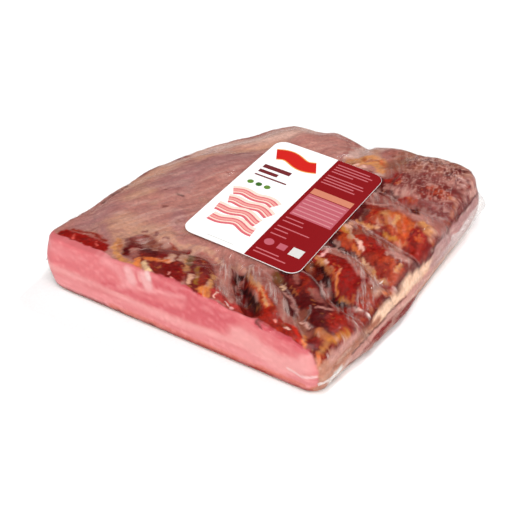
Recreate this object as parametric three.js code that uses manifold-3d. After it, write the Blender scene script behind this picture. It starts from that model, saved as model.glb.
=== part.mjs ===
// A slab of smoked pork belly, vacuum packed in a clear film bag, with a large stuck-on label.
// Millimetres, +Z up, origin under the middle of the pack. The flat cut end faces -Y, the meat side is up
// and the rind is underneath. The bag hugs the slab, so bag and slab are one closed solid, with the bag's
// thin seal fins standing out at the left and the right.

import * as THREE from 'three';
import Module from 'manifold-3d';
import { mergeVertices } from 'three/addons/utils/BufferGeometryUtils.js';

// Plan of the slab at mid height, anticlockwise from the front left: [x, y, corner radius].
const PLAN_CORNERS = [
  [-128, -143, 16],
  [124, -143, 14],
  [132.5, -24, 200],
  [126, 142, 28],
  [18, 139, 80],
  [-62, 134, 26],
  [-122, 38, 50],
];
const CORNER_STEPS = 8;
// The plan's corners that the top's four sides run between: front left, front right, back right, back left.
const SIDE_ENDS = [0, 1, 3, 5];
const CELLS_X = 46;
const CELLS_Y = 52;

// The top of the slab: level at the left, falling to the right past a soft bend, rising to the back.
const LABEL_CENTRE = new THREE.Vector2(10.5, 0.5);
const TOP_HEIGHT = 48;
const FALL = { slope: 0.085, bendX: -60, bendReach: 20 };
const RISE_TO_BACK = 0.045;
const FRONT_LIP = { height: 9, x: 28, halfWidth: 82, y: -142, reach: 34 };

// Edges that the top rolls down to: points in plan, drop at the edge and how far in it reaches.
const ROLL_OFFS = [
  { path: [[-130, -80], [-128, 0]], drop: 6, reach: 22 },
  { path: [[-126, 30], [-66, 136], [-10, 146]], drop: 15, reach: 30 },
  { path: [[-10, 150], [50, 152]], drop: 5, reach: 34 },
];

// Grooves between the lobes of meat, where the ribs lay: points in plan, depth and half width.
const GROOVES = [
  { path: [[50, 68], [76, 65], [92, 60], [104, 61], [128, 67]], depth: 6, halfWidth: 6 },
  { path: [[58, 13], [75, 12], [90, 9], [105, 4], [130, 2]], depth: 4, halfWidth: 6 },
  { path: [[62, -22], [80, -21], [93, -27], [106, -36], [118, -41], [130, -42]], depth: 4, halfWidth: 6 },
  { path: [[66, -54], [78, -60], [90, -69], [100, -76], [112, -80], [130, -79]], depth: 8, halfWidth: 6 },
  { path: [[21, -82], [30, -98], [42, -112], [54, -122], [61, -129]], depth: 10, halfWidth: 6.5 },
  { path: [[0, -84], [13, -103], [34, -120], [48, -134]], depth: 3.5, halfWidth: 6 },
  { path: [[58, -86], [72, -95], [86, -107], [104, -124]], depth: 5, halfWidth: 6 },
  { path: [[-52, -108], [-24, -96], [0, -90]], depth: 3.5, halfWidth: 6 },
  { path: [[22, 150], [17, 122], [22, 98], [14, 84]], depth: 3, halfWidth: 7 },
  { path: [[-104, 30], [-70, 46], [-54, 66], [-44, 92]], depth: 2.5, halfWidth: 8 },
];

// Rounded lobes of meat between the grooves: centre, radii, turn in degrees and height.
const LOBES = [
  { x: 98, y: 33, rx: 30, ry: 20, turn: 0, height: 4 },
  { x: 98, y: -10, rx: 28, ry: 16, turn: -4, height: 3.5 },
  { x: 95, y: -50, rx: 30, ry: 17, turn: -14, height: 5 },
  { x: 92, y: 94, rx: 40, ry: 28, turn: 8, height: 6 },
  { x: 108, y: -106, rx: 20, ry: 20, turn: 0, height: 3 },
  { x: 62, y: -108, rx: 15, ry: 24, turn: 42, height: 4 },
  { x: 8, y: -122, rx: 26, ry: 16, turn: -20, height: 2 },
  { x: -42, y: -122, rx: 26, ry: 14, turn: -6, height: 2 },
  { x: -90, y: -62, rx: 26, ry: 44, turn: 0, height: 2 },
  { x: -74, y: 14, rx: 28, ry: 30, turn: 20, height: 2.5 },
  { x: -30, y: 108, rx: 32, ry: 20, turn: 12, height: 2 },
  { x: 88, y: 130, rx: 44, ry: 26, turn: 0, height: 4.6 },
  { x: -8, y: 134, rx: 15, ry: 24, turn: 0, height: 4.5 },
];

// Low swells all over the top: waves along X and Y.
const SWELLS = [
  { waveX: 61, waveY: 83, phaseX: 0.4, phaseY: 1.1, height: 0.8 },
  { waveX: 34, waveY: 47, phaseX: 2.0, phaseY: 0.3, height: 0.45 },
];

// Edge rounding and side bulge of the slab at its four sides: front, right, back, left.
const EDGES = [
  { top: 3.5, bottom: 4, bulge: 0.6 },
  { top: 11, bottom: 4.5, bulge: 4 },
  { top: 14, bottom: 10, bulge: 3 },
  { top: 9, bottom: 9, bulge: 5.5 },
];
const CORNER_BLEND = 0.09;
const TOP_ARC_STEPS = 3;
const WALL_STEPS = 2;
const BOTTOM_ARC_STEPS = 2;

// The stuck-on label: a thin card that bridges the grooves.
const LABEL = { width: 103, length: 155, corner: 10, turn: 1.7, thickness: 0.6, gap: 0.4, cell: 10 };
const LABEL_LIFT = 1.2;
const LABEL_MARGIN = 3.5;
const LABEL_BLEND = 7;
const LABEL_BOW = { across: 0.00022, along: 0.00009 };

// Seal fins: a thin double film that stands out from a side of the slab, at a height for each end.
const FIN_THICKNESS = 0.9;
const FIN_ROOT = 4;
const FIN_STEPS = 32;
const TANGENT_STEP = 0.002;
const FIN_SCALLOP = 0.18;
const FIN_SCALLOP_WAVES = 2.6;
const FINS = [
  { side: 1, from: 0.0, to: 1.0, reach: [0.8, 4.8], heights: [11, 27], ripple: 1.8, waves: 5, taper: 0.06 },
  { side: 3, from: 0.1, to: 0.99, reach: [3, 3], heights: [18, 20], ripple: 1.2, waves: 4, taper: 0.08 },
];

const FULL_TURN = 2 * Math.PI;

const wasm = await Module();
wasm.setup();

const smooth = (low, high, x) => {
  const t = THREE.MathUtils.clamp((x - low) / (high - low), 0, 1);
  return t * t * (3 - 2 * t);
};

// The rounded plan as a dense closed loop of points, with the index of each corner's middle point.
function roundedPlan() {
  const points = [];
  const middles = [];
  const count = PLAN_CORNERS.length;
  PLAN_CORNERS.forEach(([x, y, radius], i) => {
    const here = new THREE.Vector2(x, y);
    const before = new THREE.Vector2(...PLAN_CORNERS[(i + count - 1) % count]);
    const after = new THREE.Vector2(...PLAN_CORNERS[(i + 1) % count]);
    const inward = before.sub(here).normalize();
    const outward = after.sub(here).normalize();
    const half = Math.acos(THREE.MathUtils.clamp(inward.dot(outward), -1, 1)) / 2;
    const back = radius / Math.tan(half);
    const start = here.clone().addScaledVector(inward, back);
    const end = here.clone().addScaledVector(outward, back);
    const bisector = inward.clone().add(outward).normalize();
    const centre = here.clone().addScaledVector(bisector, radius / Math.sin(half));
    const a0 = Math.atan2(start.y - centre.y, start.x - centre.x);
    let sweep = Math.atan2(end.y - centre.y, end.x - centre.x) - a0;
    sweep = Math.atan2(Math.sin(sweep), Math.cos(sweep));
    for (let k = 0; k <= CORNER_STEPS; k++) {
      if (k === CORNER_STEPS / 2) middles.push(points.length);
      const a = a0 + (sweep * k) / CORNER_STEPS;
      points.push(new THREE.Vector2(centre.x + radius * Math.cos(a), centre.y + radius * Math.sin(a)));
    }
  });
  return { points, middles };
}

// One side of the plan, as a function from 0 to 1 that runs anticlockwise by length.
function makeSide(points, first, last) {
  const run = [];
  for (let i = first; ; i = (i + 1) % points.length) {
    run.push(points[i]);
    if (i === last) break;
  }
  const lengths = [0];
  for (let i = 1; i < run.length; i++) lengths.push(lengths[i - 1] + run[i].distanceTo(run[i - 1]));
  const total = lengths[lengths.length - 1];
  return (t) => {
    const wanted = THREE.MathUtils.clamp(t, 0, 1) * total;
    let i = 1;
    while (i < run.length - 1 && lengths[i] < wanted) i++;
    const share = (wanted - lengths[i - 1]) / (lengths[i] - lengths[i - 1]);
    return new THREE.Vector2().lerpVectors(run[i - 1], run[i], share);
  };
}

const plan = roundedPlan();
const ends = SIDE_ENDS.map((i) => plan.middles[i]);
const sides = ends.map((first, i) => makeSide(plan.points, first, ends[(i + 1) % 4]));

// Distance from a point to an open path in plan.
function pathDistance(path, x, y) {
  let least = Infinity;
  for (let i = 1; i < path.length; i++) {
    const [ax, ay] = path[i - 1];
    const [bx, by] = path[i];
    const dx = bx - ax;
    const dy = by - ay;
    const t = THREE.MathUtils.clamp(((x - ax) * dx + (y - ay) * dy) / (dx * dx + dy * dy), 0, 1);
    least = Math.min(least, Math.hypot(x - ax - t * dx, y - ay - t * dy));
  }
  return least;
}

// A bell curve of the distance to a path: 1 on the path, under 0.4 past the reach.
const nearness = (path, reach, x, y) => Math.exp(-((pathDistance(path, x, y) / reach) ** 2));

const grooveDepth = (x, y) =>
  GROOVES.reduce((sum, groove) => sum + groove.depth * nearness(groove.path, groove.halfWidth, x, y), 0);

const rollOff = (x, y) =>
  ROLL_OFFS.reduce((sum, edge) => sum + edge.drop * nearness(edge.path, edge.reach, x, y), 0);

function lobeHeight(x, y) {
  return LOBES.reduce((sum, lobe) => {
    const turn = THREE.MathUtils.degToRad(lobe.turn);
    const dx = x - lobe.x;
    const dy = y - lobe.y;
    const u = (dx * Math.cos(turn) + dy * Math.sin(turn)) / lobe.rx;
    const v = (dy * Math.cos(turn) - dx * Math.sin(turn)) / lobe.ry;
    return sum + lobe.height * Math.exp(-((u * u + v * v) ** 2));
  }, 0);
}

function swellHeight(x, y) {
  return SWELLS.reduce((sum, swell) => {
    const alongX = Math.sin((x / swell.waveX) * FULL_TURN + swell.phaseX);
    const alongY = Math.sin((y / swell.waveY) * FULL_TURN + swell.phaseY);
    return sum + swell.height * alongX * alongY;
  }, 0);
}

// The label's own coordinates: across its width and along its length, from its middle.
function labelCoordinates(x, y) {
  const turn = THREE.MathUtils.degToRad(LABEL.turn);
  const dx = x - LABEL_CENTRE.x;
  const dy = y - LABEL_CENTRE.y;
  return [dx * Math.cos(turn) + dy * Math.sin(turn), dy * Math.cos(turn) - dx * Math.sin(turn)];
}

// The top's main slopes, without lobes and grooves: a fall that begins gently past the bend, and a rise.
function slopeHeight(x, y) {
  const past = (at) => (at - FALL.bendX + Math.hypot(at - FALL.bendX, FALL.bendReach)) / 2;
  const fall = FALL.slope * (past(x) - past(LABEL_CENTRE.x));
  return TOP_HEIGHT - fall + RISE_TO_BACK * (y - LABEL_CENTRE.y);
}

// The underside of the label: it lies on the main slopes, bowed down a little towards its edges.
function labelHeight(x, y) {
  const [u, v] = labelCoordinates(x, y);
  return slopeHeight(x, y) + LABEL_LIFT - LABEL_BOW.across * u * u - LABEL_BOW.along * v * v;
}

// The top surface of the pack.
function topHeight(x, y) {
  const lip = FRONT_LIP.height * Math.exp(-(((y - FRONT_LIP.y) / FRONT_LIP.reach) ** 2))
    * Math.exp(-(((x - FRONT_LIP.x) / FRONT_LIP.halfWidth) ** 4));
  const relief = lobeHeight(x, y) - grooveDepth(x, y) - rollOff(x, y) + swellHeight(x, y);
  const height = slopeHeight(x, y) + lip + relief;
  const [u, v] = labelCoordinates(x, y);
  const outside = Math.max(Math.abs(u) - LABEL.width / 2, Math.abs(v) - LABEL.length / 2);
  const under = 1 - smooth(LABEL_MARGIN, LABEL_MARGIN + LABEL_BLEND, outside);
  const ceiling = labelHeight(x, y) - LABEL.gap;
  return THREE.MathUtils.lerp(height, Math.min(height, ceiling), under);
}

// A value of EDGES at a place on the plan's edge, blended across the corners.
function edgeValue(side, t, key) {
  const blend = CORNER_BLEND;
  const own = EDGES[side][key];
  const before = EDGES[(side + 3) % 4][key];
  const after = EDGES[(side + 1) % 4][key];
  if (t < blend) return THREE.MathUtils.lerp((before + own) / 2, own, smooth(0, blend, t));
  if (t > 1 - blend) return THREE.MathUtils.lerp(own, (own + after) / 2, smooth(1 - blend, 1, t));
  return own;
}

// Places round the plan's edge, anticlockwise from the front left, one for each cell of the top's border.
function edgePlaces() {
  const cells = [CELLS_X, CELLS_Y, CELLS_X, CELLS_Y];
  const places = [];
  cells.forEach((n, side) => {
    for (let k = 0; k < n; k++) places.push({ side, t: k / n, point: sides[side](k / n) });
  });
  const count = places.length;
  places.forEach((place, i) => {
    const ahead = places[(i + 1) % count].point;
    const behind = places[(i + count - 1) % count].point;
    const along = ahead.clone().sub(behind).normalize();
    place.normal = new THREE.Vector2(along.y, -along.x);
    for (const key of ['top', 'bottom', 'bulge']) place[key] = edgeValue(place.side, place.t, key);
  });
  return places;
}

const inset = (place, distance) => place.point.clone().addScaledVector(place.normal, -distance);

// The slab's rings from the rim of the top down the wall to the rim of the underside.
function wallRings(places) {
  const rings = [];
  const rimHeight = places.map((place) => {
    const p = inset(place, place.top);
    return topHeight(p.x, p.y);
  });
  const addRing = (shape) => rings.push(places.map((place, i) => {
    const [distance, z] = shape(place, rimHeight[i]);
    const p = inset(place, distance);
    return new THREE.Vector3(p.x, p.y, z);
  }));
  for (let k = 0; k <= TOP_ARC_STEPS; k++) {
    const a = (k / TOP_ARC_STEPS) * (Math.PI / 2);
    addRing((place, rim) => [place.top * (1 - Math.sin(a)), rim - place.top * (1 - Math.cos(a))]);
  }
  for (let k = 1; k <= WALL_STEPS; k++) {
    const share = k / (WALL_STEPS + 1);
    addRing((place, rim) => [
      -place.bulge * Math.sin(share * Math.PI),
      THREE.MathUtils.lerp(rim - place.top, place.bottom, share),
    ]);
  }
  for (let k = 0; k <= BOTTOM_ARC_STEPS; k++) {
    const a = (k / BOTTOM_ARC_STEPS) * (Math.PI / 2);
    addRing((place) => [place.bottom * (1 - Math.cos(a)), place.bottom * (1 - Math.sin(a))]);
  }
  return rings;
}

// The top's grid, stretched between its border points as a Coons patch.
function topGrid(border) {
  const at = (i, j) => {
    if (j === 0) return border[i];
    if (i === CELLS_X) return border[CELLS_X + j];
    if (j === CELLS_Y) return border[2 * CELLS_X + CELLS_Y - i];
    return border[(2 * (CELLS_X + CELLS_Y) - j) % border.length];
  };
  const grid = [];
  for (let j = 0; j <= CELLS_Y; j++) {
    const v = j / CELLS_Y;
    const row = [];
    for (let i = 0; i <= CELLS_X; i++) {
      if (i === 0 || j === 0 || i === CELLS_X || j === CELLS_Y) {
        row.push(at(i, j));
        continue;
      }
      const u = i / CELLS_X;
      const p = new THREE.Vector3()
        .addScaledVector(at(i, 0), 1 - v)
        .addScaledVector(at(i, CELLS_Y), v)
        .addScaledVector(at(0, j), 1 - u)
        .addScaledVector(at(CELLS_X, j), u)
        .addScaledVector(at(0, 0), -(1 - u) * (1 - v))
        .addScaledVector(at(CELLS_X, 0), -u * (1 - v))
        .addScaledVector(at(0, CELLS_Y), -(1 - u) * v)
        .addScaledVector(at(CELLS_X, CELLS_Y), -u * v);
      row.push(new THREE.Vector3(p.x, p.y, topHeight(p.x, p.y)));
    }
    grid.push(row);
  }
  return grid;
}

// Collects triangles, and quads as two triangles each, into a geometry.
class Facets {
  constructor() {
    this.corners = [];
  }

  triangle(a, b, c) {
    this.corners.push(a.x, a.y, a.z, b.x, b.y, b.z, c.x, c.y, c.z);
  }

  quad(a, b, c, d) {
    this.triangle(a, b, c);
    this.triangle(a, c, d);
  }

  // A quad split along the diagonal whose ends are nearer in height, so that grooves stay clean.
  creasedQuad(a, b, c, d) {
    if (Math.abs(a.z - c.z) <= Math.abs(b.z - d.z)) this.quad(a, b, c, d);
    else this.quad(b, c, d, a);
  }

  geometry() {
    const made = new THREE.BufferGeometry();
    made.setAttribute('position', new THREE.Float32BufferAttribute(this.corners, 3));
    return mergeVertices(made, 1e-4);
  }
}

function slabGeometry() {
  const facets = new Facets();
  const rings = wallRings(edgePlaces());
  const count = rings[0].length;
  const grid = topGrid(rings[0]);
  for (let j = 0; j < CELLS_Y; j++) {
    for (let i = 0; i < CELLS_X; i++) {
      facets.creasedQuad(grid[j][i], grid[j][i + 1], grid[j + 1][i + 1], grid[j + 1][i]);
    }
  }
  for (let k = 1; k < rings.length; k++) {
    for (let i = 0; i < count; i++) {
      const next = (i + 1) % count;
      facets.quad(rings[k - 1][i], rings[k][i], rings[k][next], rings[k - 1][next]);
    }
  }
  const underside = rings[rings.length - 1];
  const middle = new THREE.Vector3(0, 0, 0);
  for (let i = 0; i < count; i++) facets.triangle(underside[i], middle, underside[(i + 1) % count]);
  return facets.geometry();
}

// A thin rippled strip with square edges, from inside the slab's wall to the fin's free edge.
function finGeometry(fin) {
  const facets = new Facets();
  const sections = [];
  for (let k = 0; k <= FIN_STEPS; k++) {
    const share = k / FIN_STEPS;
    const t = THREE.MathUtils.lerp(fin.from, fin.to, share);
    const ahead = sides[fin.side](t + TANGENT_STEP);
    const along = ahead.sub(sides[fin.side](t - TANGENT_STEP)).normalize();
    const normal = new THREE.Vector2(along.y, -along.x);
    const base = sides[fin.side](t);
    const full = smooth(0, fin.taper, share) * (1 - smooth(1 - fin.taper, 1, share));
    const wave = Math.sin(share * fin.waves * FULL_TURN);
    const height = THREE.MathUtils.lerp(...fin.heights, share);
    const bulge = edgeValue(fin.side, t, 'bulge');
    const scallop = 1 + FIN_SCALLOP * Math.sin(share * FIN_SCALLOP_WAVES * FULL_TURN + 1);
    const reach = bulge + 1 + THREE.MathUtils.lerp(...fin.reach, share) * scallop * full;
    const root = base.clone().addScaledVector(normal, -FIN_ROOT);
    const tip = base.clone().addScaledVector(normal, reach);
    const tipHeight = height + fin.ripple * wave;
    const half = FIN_THICKNESS / 2;
    sections.push([
      new THREE.Vector3(root.x, root.y, height - half),
      new THREE.Vector3(tip.x, tip.y, tipHeight - half),
      new THREE.Vector3(tip.x, tip.y, tipHeight + half),
      new THREE.Vector3(root.x, root.y, height + half),
    ]);
  }
  for (let k = 1; k < sections.length; k++) {
    for (let c = 0; c < 4; c++) {
      const d = (c + 1) % 4;
      facets.quad(sections[k - 1][c], sections[k][c], sections[k][d], sections[k - 1][d]);
    }
  }
  facets.quad(...sections[0]);
  facets.quad(...[...sections[sections.length - 1]].reverse());
  return facets.geometry();
}

// The label: rounded corners, both faces on one grid that follows the label's own surface.
function labelGeometry() {
  const facets = new Facets();
  const nu = Math.round(LABEL.width / LABEL.cell);
  const nv = Math.round(LABEL.length / LABEL.cell);
  const turn = THREE.MathUtils.degToRad(LABEL.turn);
  const place = (i, j, lift) => {
    let u = (i / nu - 0.5) * LABEL.width;
    let v = (j / nv - 0.5) * LABEL.length;
    const cu = Math.max(0, Math.abs(u) - (LABEL.width / 2 - LABEL.corner));
    const cv = Math.max(0, Math.abs(v) - (LABEL.length / 2 - LABEL.corner));
    if (cu > 0 && cv > 0) {
      const shrink = Math.max(cu, cv) / Math.hypot(cu, cv);
      u -= Math.sign(u) * cu * (1 - shrink);
      v -= Math.sign(v) * cv * (1 - shrink);
    }
    const x = LABEL_CENTRE.x + u * Math.cos(turn) - v * Math.sin(turn);
    const y = LABEL_CENTRE.y + u * Math.sin(turn) + v * Math.cos(turn);
    return new THREE.Vector3(x, y, labelHeight(x, y) + lift);
  };
  const face = (lift) => Array.from({ length: nv + 1 }, (_, j) =>
    Array.from({ length: nu + 1 }, (_, i) => place(i, j, lift)));
  const low = face(0);
  const high = face(LABEL.thickness);
  for (let j = 0; j < nv; j++) {
    for (let i = 0; i < nu; i++) {
      facets.quad(high[j][i], high[j][i + 1], high[j + 1][i + 1], high[j + 1][i]);
      facets.quad(low[j][i], low[j + 1][i], low[j + 1][i + 1], low[j][i + 1]);
    }
  }
  for (let i = 0; i < nu; i++) {
    facets.quad(low[0][i], low[0][i + 1], high[0][i + 1], high[0][i]);
    facets.quad(low[nv][i + 1], low[nv][i], high[nv][i], high[nv][i + 1]);
  }
  for (let j = 0; j < nv; j++) {
    facets.quad(low[j][nu], low[j + 1][nu], high[j + 1][nu], high[j][nu]);
    facets.quad(low[j + 1][0], low[j][0], high[j][0], high[j + 1][0]);
  }
  return facets.geometry();
}

function toSolid(geometry) {
  return new wasm.Manifold(new wasm.Mesh({
    numProp: 3,
    vertProperties: geometry.getAttribute('position').array,
    triVerts: new Uint32Array(geometry.index.array),
  }));
}

function toGeometry(solid) {
  const { vertProperties, triVerts } = solid.getMesh();
  const geometry = new THREE.BufferGeometry();
  geometry.setAttribute('position', new THREE.BufferAttribute(vertProperties, 3));
  geometry.setIndex(new THREE.BufferAttribute(triVerts, 1));
  geometry.computeVertexNormals();
  return geometry;
}

function makeBag() {
  const solid = FINS.reduce((sum, fin) => sum.add(toSolid(finGeometry(fin))), toSolid(slabGeometry()));
  const material = new THREE.MeshStandardMaterial({ color: 0x9c3a34, roughness: 0.25, metalness: 0 });
  const mesh = new THREE.Mesh(toGeometry(solid), material);
  mesh.name = 'vacuum_bag';
  return mesh;
}

function makeLabel() {
  const material = new THREE.MeshStandardMaterial({ color: 0xf4f2f0, roughness: 0.4, metalness: 0 });
  const mesh = new THREE.Mesh(toGeometry(toSolid(labelGeometry())), material);
  mesh.name = 'label';
  return mesh;
}

const pack = new THREE.Group();
pack.name = 'bacon_pack';
pack.add(makeBag(), makeLabel());

export default pack;
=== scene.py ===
"""Looks of a slab of smoked bacon, vacuum packed in clear film, with a generic label stuck on top.

The form's own numbers are in millimetres, as in the part's source; meshes are made in metres. The flat
cut face looks towards -Y, the meat side is up and the rind is underneath. The slab, its film, the label's
card and its print are meshes made here on the same form as the solids.
"""

import math

import bpy
import numpy as np
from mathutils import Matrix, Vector


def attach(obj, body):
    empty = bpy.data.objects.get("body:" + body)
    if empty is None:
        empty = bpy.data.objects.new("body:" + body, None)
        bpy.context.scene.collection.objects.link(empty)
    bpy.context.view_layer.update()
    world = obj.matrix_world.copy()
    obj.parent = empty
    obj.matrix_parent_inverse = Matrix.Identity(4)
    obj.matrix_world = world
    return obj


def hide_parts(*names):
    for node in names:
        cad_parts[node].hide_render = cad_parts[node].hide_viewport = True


MM = 0.001

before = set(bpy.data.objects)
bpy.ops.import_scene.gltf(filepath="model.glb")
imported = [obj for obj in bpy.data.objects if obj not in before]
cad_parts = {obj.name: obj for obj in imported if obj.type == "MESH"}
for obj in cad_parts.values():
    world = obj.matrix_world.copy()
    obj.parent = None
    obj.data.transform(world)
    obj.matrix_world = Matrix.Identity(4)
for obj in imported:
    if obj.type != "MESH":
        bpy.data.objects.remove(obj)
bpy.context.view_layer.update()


# The pack's form

# Plan at mid height, anticlockwise from the front left: x, y, corner radius.
PLAN_CORNERS = [
    (-128, -143, 16),
    (124, -143, 14),
    (132.5, -24, 200),
    (126, 142, 28),
    (18, 139, 80),
    (-62, 134, 26),
    (-122, 38, 50),
]
CORNER_STEPS = 8
# The corners that the front, right, back and left sides start at.
SIDE_ENDS = (0, 1, 3, 5)

LABEL_X, LABEL_Y = 10.5, 0.5
TOP_HEIGHT = 48
FALL_SLOPE, FALL_BEND_X, FALL_BEND_REACH = 0.085, -60, 20
RISE_TO_BACK = 0.045
LIP_HEIGHT, LIP_X, LIP_HALF_WIDTH, LIP_Y, LIP_REACH = 9, 28, 82, -142, 34

# Edges that the top rolls down to: points in plan, drop, reach.
ROLL_OFFS = [
    ([(-130, -80), (-128, 0)], 6, 22),
    ([(-126, 30), (-66, 136), (-10, 146)], 15, 30),
    ([(-10, 150), (50, 152)], 5, 34),
]
# Grooves between the lobes of meat: points in plan, depth, half width.
GROOVES = [
    ([(50, 68), (76, 65), (92, 60), (104, 61), (128, 67)], 6, 6),
    ([(58, 13), (75, 12), (90, 9), (105, 4), (130, 2)], 4, 6),
    ([(62, -22), (80, -21), (93, -27), (106, -36), (118, -41), (130, -42)], 4, 6),
    ([(66, -54), (78, -60), (90, -69), (100, -76), (112, -80), (130, -79)], 8, 6),
    ([(21, -82), (30, -98), (42, -112), (54, -122), (61, -129)], 10, 6.5),
    ([(0, -84), (13, -103), (34, -120), (48, -134)], 3.5, 6),
    ([(58, -86), (72, -95), (86, -107), (104, -124)], 5, 6),
    ([(-52, -108), (-24, -96), (0, -90)], 3.5, 6),
    ([(22, 150), (17, 122), (22, 98), (14, 84)], 3, 7),
    ([(-104, 30), (-70, 46), (-54, 66), (-44, 92)], 2.5, 8),
]
# Lobes of meat: x, y, radius along, radius across, turn in degrees, height.
LOBES = [
    (98, 33, 30, 20, 0, 4),
    (98, -10, 28, 16, -4, 3.5),
    (95, -50, 30, 17, -14, 5),
    (92, 94, 40, 28, 8, 6),
    (108, -106, 20, 20, 0, 3),
    (62, -108, 15, 24, 42, 4),
    (8, -122, 26, 16, -20, 2),
    (-42, -122, 26, 14, -6, 2),
    (-90, -62, 26, 44, 0, 2),
    (-74, 14, 28, 30, 20, 2.5),
    (-30, 108, 32, 20, 12, 2),
    (88, 130, 44, 26, 0, 4.6),
    (-8, 134, 15, 24, 0, 4.5),
]
# Low swells: wavelength along x and y, phase along x and y, height.
SWELLS = [(61, 83, 0.4, 1.1, 0.8), (34, 47, 2.0, 0.3, 0.45)]

# The front, right, back and left sides' edge rounding at top and bottom, and how far the wall bulges.
EDGES = {"top": (3.5, 11, 14, 9), "bottom": (4, 4.5, 10, 9), "bulge": (0.6, 4, 3, 5.5)}
CORNER_BLEND = 0.09

LABEL_WIDTH, LABEL_LENGTH, LABEL_CORNER, LABEL_TURN = 103, 155, 10, 1.7
LABEL_THICKNESS, LABEL_LIFT, LABEL_GAP, LABEL_MARGIN, LABEL_BLEND = 0.6, 1.2, 0.4, 3.5, 7
LABEL_BOW_ACROSS, LABEL_BOW_ALONG = 0.00022, 0.00009

# Seal fins: side, start and end along it, reach at each end, height at each end, ripple, waves, taper.
FINS = [
    (1, 0.0, 1.0, (0.8, 4.8), (11, 27), 1.8, 5, 0.06),
    (3, 0.1, 0.99, (3, 3), (18, 20), 1.2, 4, 0.08),
]
FIN_ROOT, FIN_THICKNESS = 4, 0.5


def smooth(low, high, x):
    t = np.clip((x - low) / (high - low), 0, 1)
    return t * t * (3 - 2 * t)


def mix(a, b, t):
    return a + (b - a) * t


def rotate(x, y, degrees):
    """Coordinates turned anticlockwise."""
    c, s = math.cos(math.radians(degrees)), math.sin(math.radians(degrees))
    return x * c - y * s, x * s + y * c


def right_of(along):
    """Unit normals to the right of steps along a path."""
    along = along / np.linalg.norm(along, axis=1)[:, None]
    return np.stack([along[:, 1], -along[:, 0]], 1)


def path_distance(path, x, y):
    """Distance in plan from each point to a path."""
    least = np.full(np.shape(x), np.inf)
    for (ax, ay), (bx, by) in zip(path, path[1:]):
        dx, dy = bx - ax, by - ay
        t = np.clip(((x - ax) * dx + (y - ay) * dy) / (dx * dx + dy * dy), 0, 1)
        least = np.minimum(least, np.hypot(x - ax - t * dx, y - ay - t * dy))
    return least


def band(path, half_width, soft, x, y):
    """1 in a soft-edged band along a path, 0 outside it."""
    return 1 - smooth(half_width - soft, half_width + soft, path_distance(path, x, y))


def nearness(path, reach, x, y):
    return np.exp(-((path_distance(path, x, y) / reach) ** 2))


def lobe_height(x, y):
    total = np.zeros(np.shape(x))
    for lobe_x, lobe_y, along, across, turn, height in LOBES:
        u, v = rotate(x - lobe_x, y - lobe_y, -turn)
        total += height * np.exp(-(((u / along) ** 2 + (v / across) ** 2) ** 2))
    return total


def swell_height(x, y):
    total = np.zeros(np.shape(x))
    for wave_x, wave_y, phase_x, phase_y, height in SWELLS:
        along_x = np.sin(x / wave_x * 2 * math.pi + phase_x)
        total += height * along_x * np.sin(y / wave_y * 2 * math.pi + phase_y)
    return total


def label_coordinates(x, y):
    return rotate(x - LABEL_X, y - LABEL_Y, -LABEL_TURN)


def slope_height(x, y):
    def past(at):
        return (at - FALL_BEND_X + np.hypot(at - FALL_BEND_X, FALL_BEND_REACH)) / 2

    fall = FALL_SLOPE * (past(x) - past(LABEL_X))
    return TOP_HEIGHT - fall + RISE_TO_BACK * (y - LABEL_Y)


def label_height(x, y):
    u, v = label_coordinates(x, y)
    bow = LABEL_BOW_ACROSS * u * u + LABEL_BOW_ALONG * v * v
    return slope_height(x, y) + LABEL_LIFT - bow


def under_label(x, y):
    """1 under the label, falling to 0 past its margin."""
    u, v = label_coordinates(x, y)
    outside = np.maximum(np.abs(u) - LABEL_WIDTH / 2, np.abs(v) - LABEL_LENGTH / 2)
    return 1 - smooth(LABEL_MARGIN, LABEL_MARGIN + LABEL_BLEND, outside)


def top_height(x, y):
    lip = LIP_HEIGHT * np.exp(-(((y - LIP_Y) / LIP_REACH) ** 2))
    lip = lip * np.exp(-(((x - LIP_X) / LIP_HALF_WIDTH) ** 4))
    height = slope_height(x, y) + lip + lobe_height(x, y) + swell_height(x, y)
    for path, depth, width in GROOVES:
        height = height - depth * nearness(path, width, x, y)
    for path, drop, reach in ROLL_OFFS:
        height = height - drop * nearness(path, reach, x, y)
    ceiling = label_height(x, y) - LABEL_GAP
    return mix(height, np.minimum(height, ceiling), under_label(x, y))


def rounded_plan():
    """The plan's outline as dense points, and the index of each corner's middle point."""
    points, middles = [], []
    count = len(PLAN_CORNERS)
    for i, (x, y, radius) in enumerate(PLAN_CORNERS):
        here = np.array([x, y], float)
        inward = np.array(PLAN_CORNERS[i - 1][:2], float) - here
        outward = np.array(PLAN_CORNERS[(i + 1) % count][:2], float) - here
        inward /= np.linalg.norm(inward)
        outward /= np.linalg.norm(outward)
        half = math.acos(np.clip(inward @ outward, -1, 1)) / 2
        start = here + inward * radius / math.tan(half)
        end = here + outward * radius / math.tan(half)
        bisector = (inward + outward) / np.linalg.norm(inward + outward)
        centre = here + bisector * radius / math.sin(half)
        first = math.atan2(*(start - centre)[::-1])
        sweep = math.atan2(*(end - centre)[::-1]) - first
        sweep = math.atan2(math.sin(sweep), math.cos(sweep))
        middles.append(len(points) + CORNER_STEPS // 2)
        for k in range(CORNER_STEPS + 1):
            angle = first + sweep * k / CORNER_STEPS
            points.append(centre + radius * np.array([math.cos(angle), math.sin(angle)]))
    return np.array(points), middles


def make_side(points, first, last):
    """One side of the plan as a function from 0 to 1, by length."""
    count = len(points)
    index = [(first + k) % count for k in range((last - first) % count + 1)]
    run = points[index]
    lengths = np.concatenate([[0], np.cumsum(np.linalg.norm(np.diff(run, axis=0), axis=1))])
    lengths /= lengths[-1]
    return lambda t: np.stack([np.interp(t, lengths, run[:, 0]), np.interp(t, lengths, run[:, 1])], -1)


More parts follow.
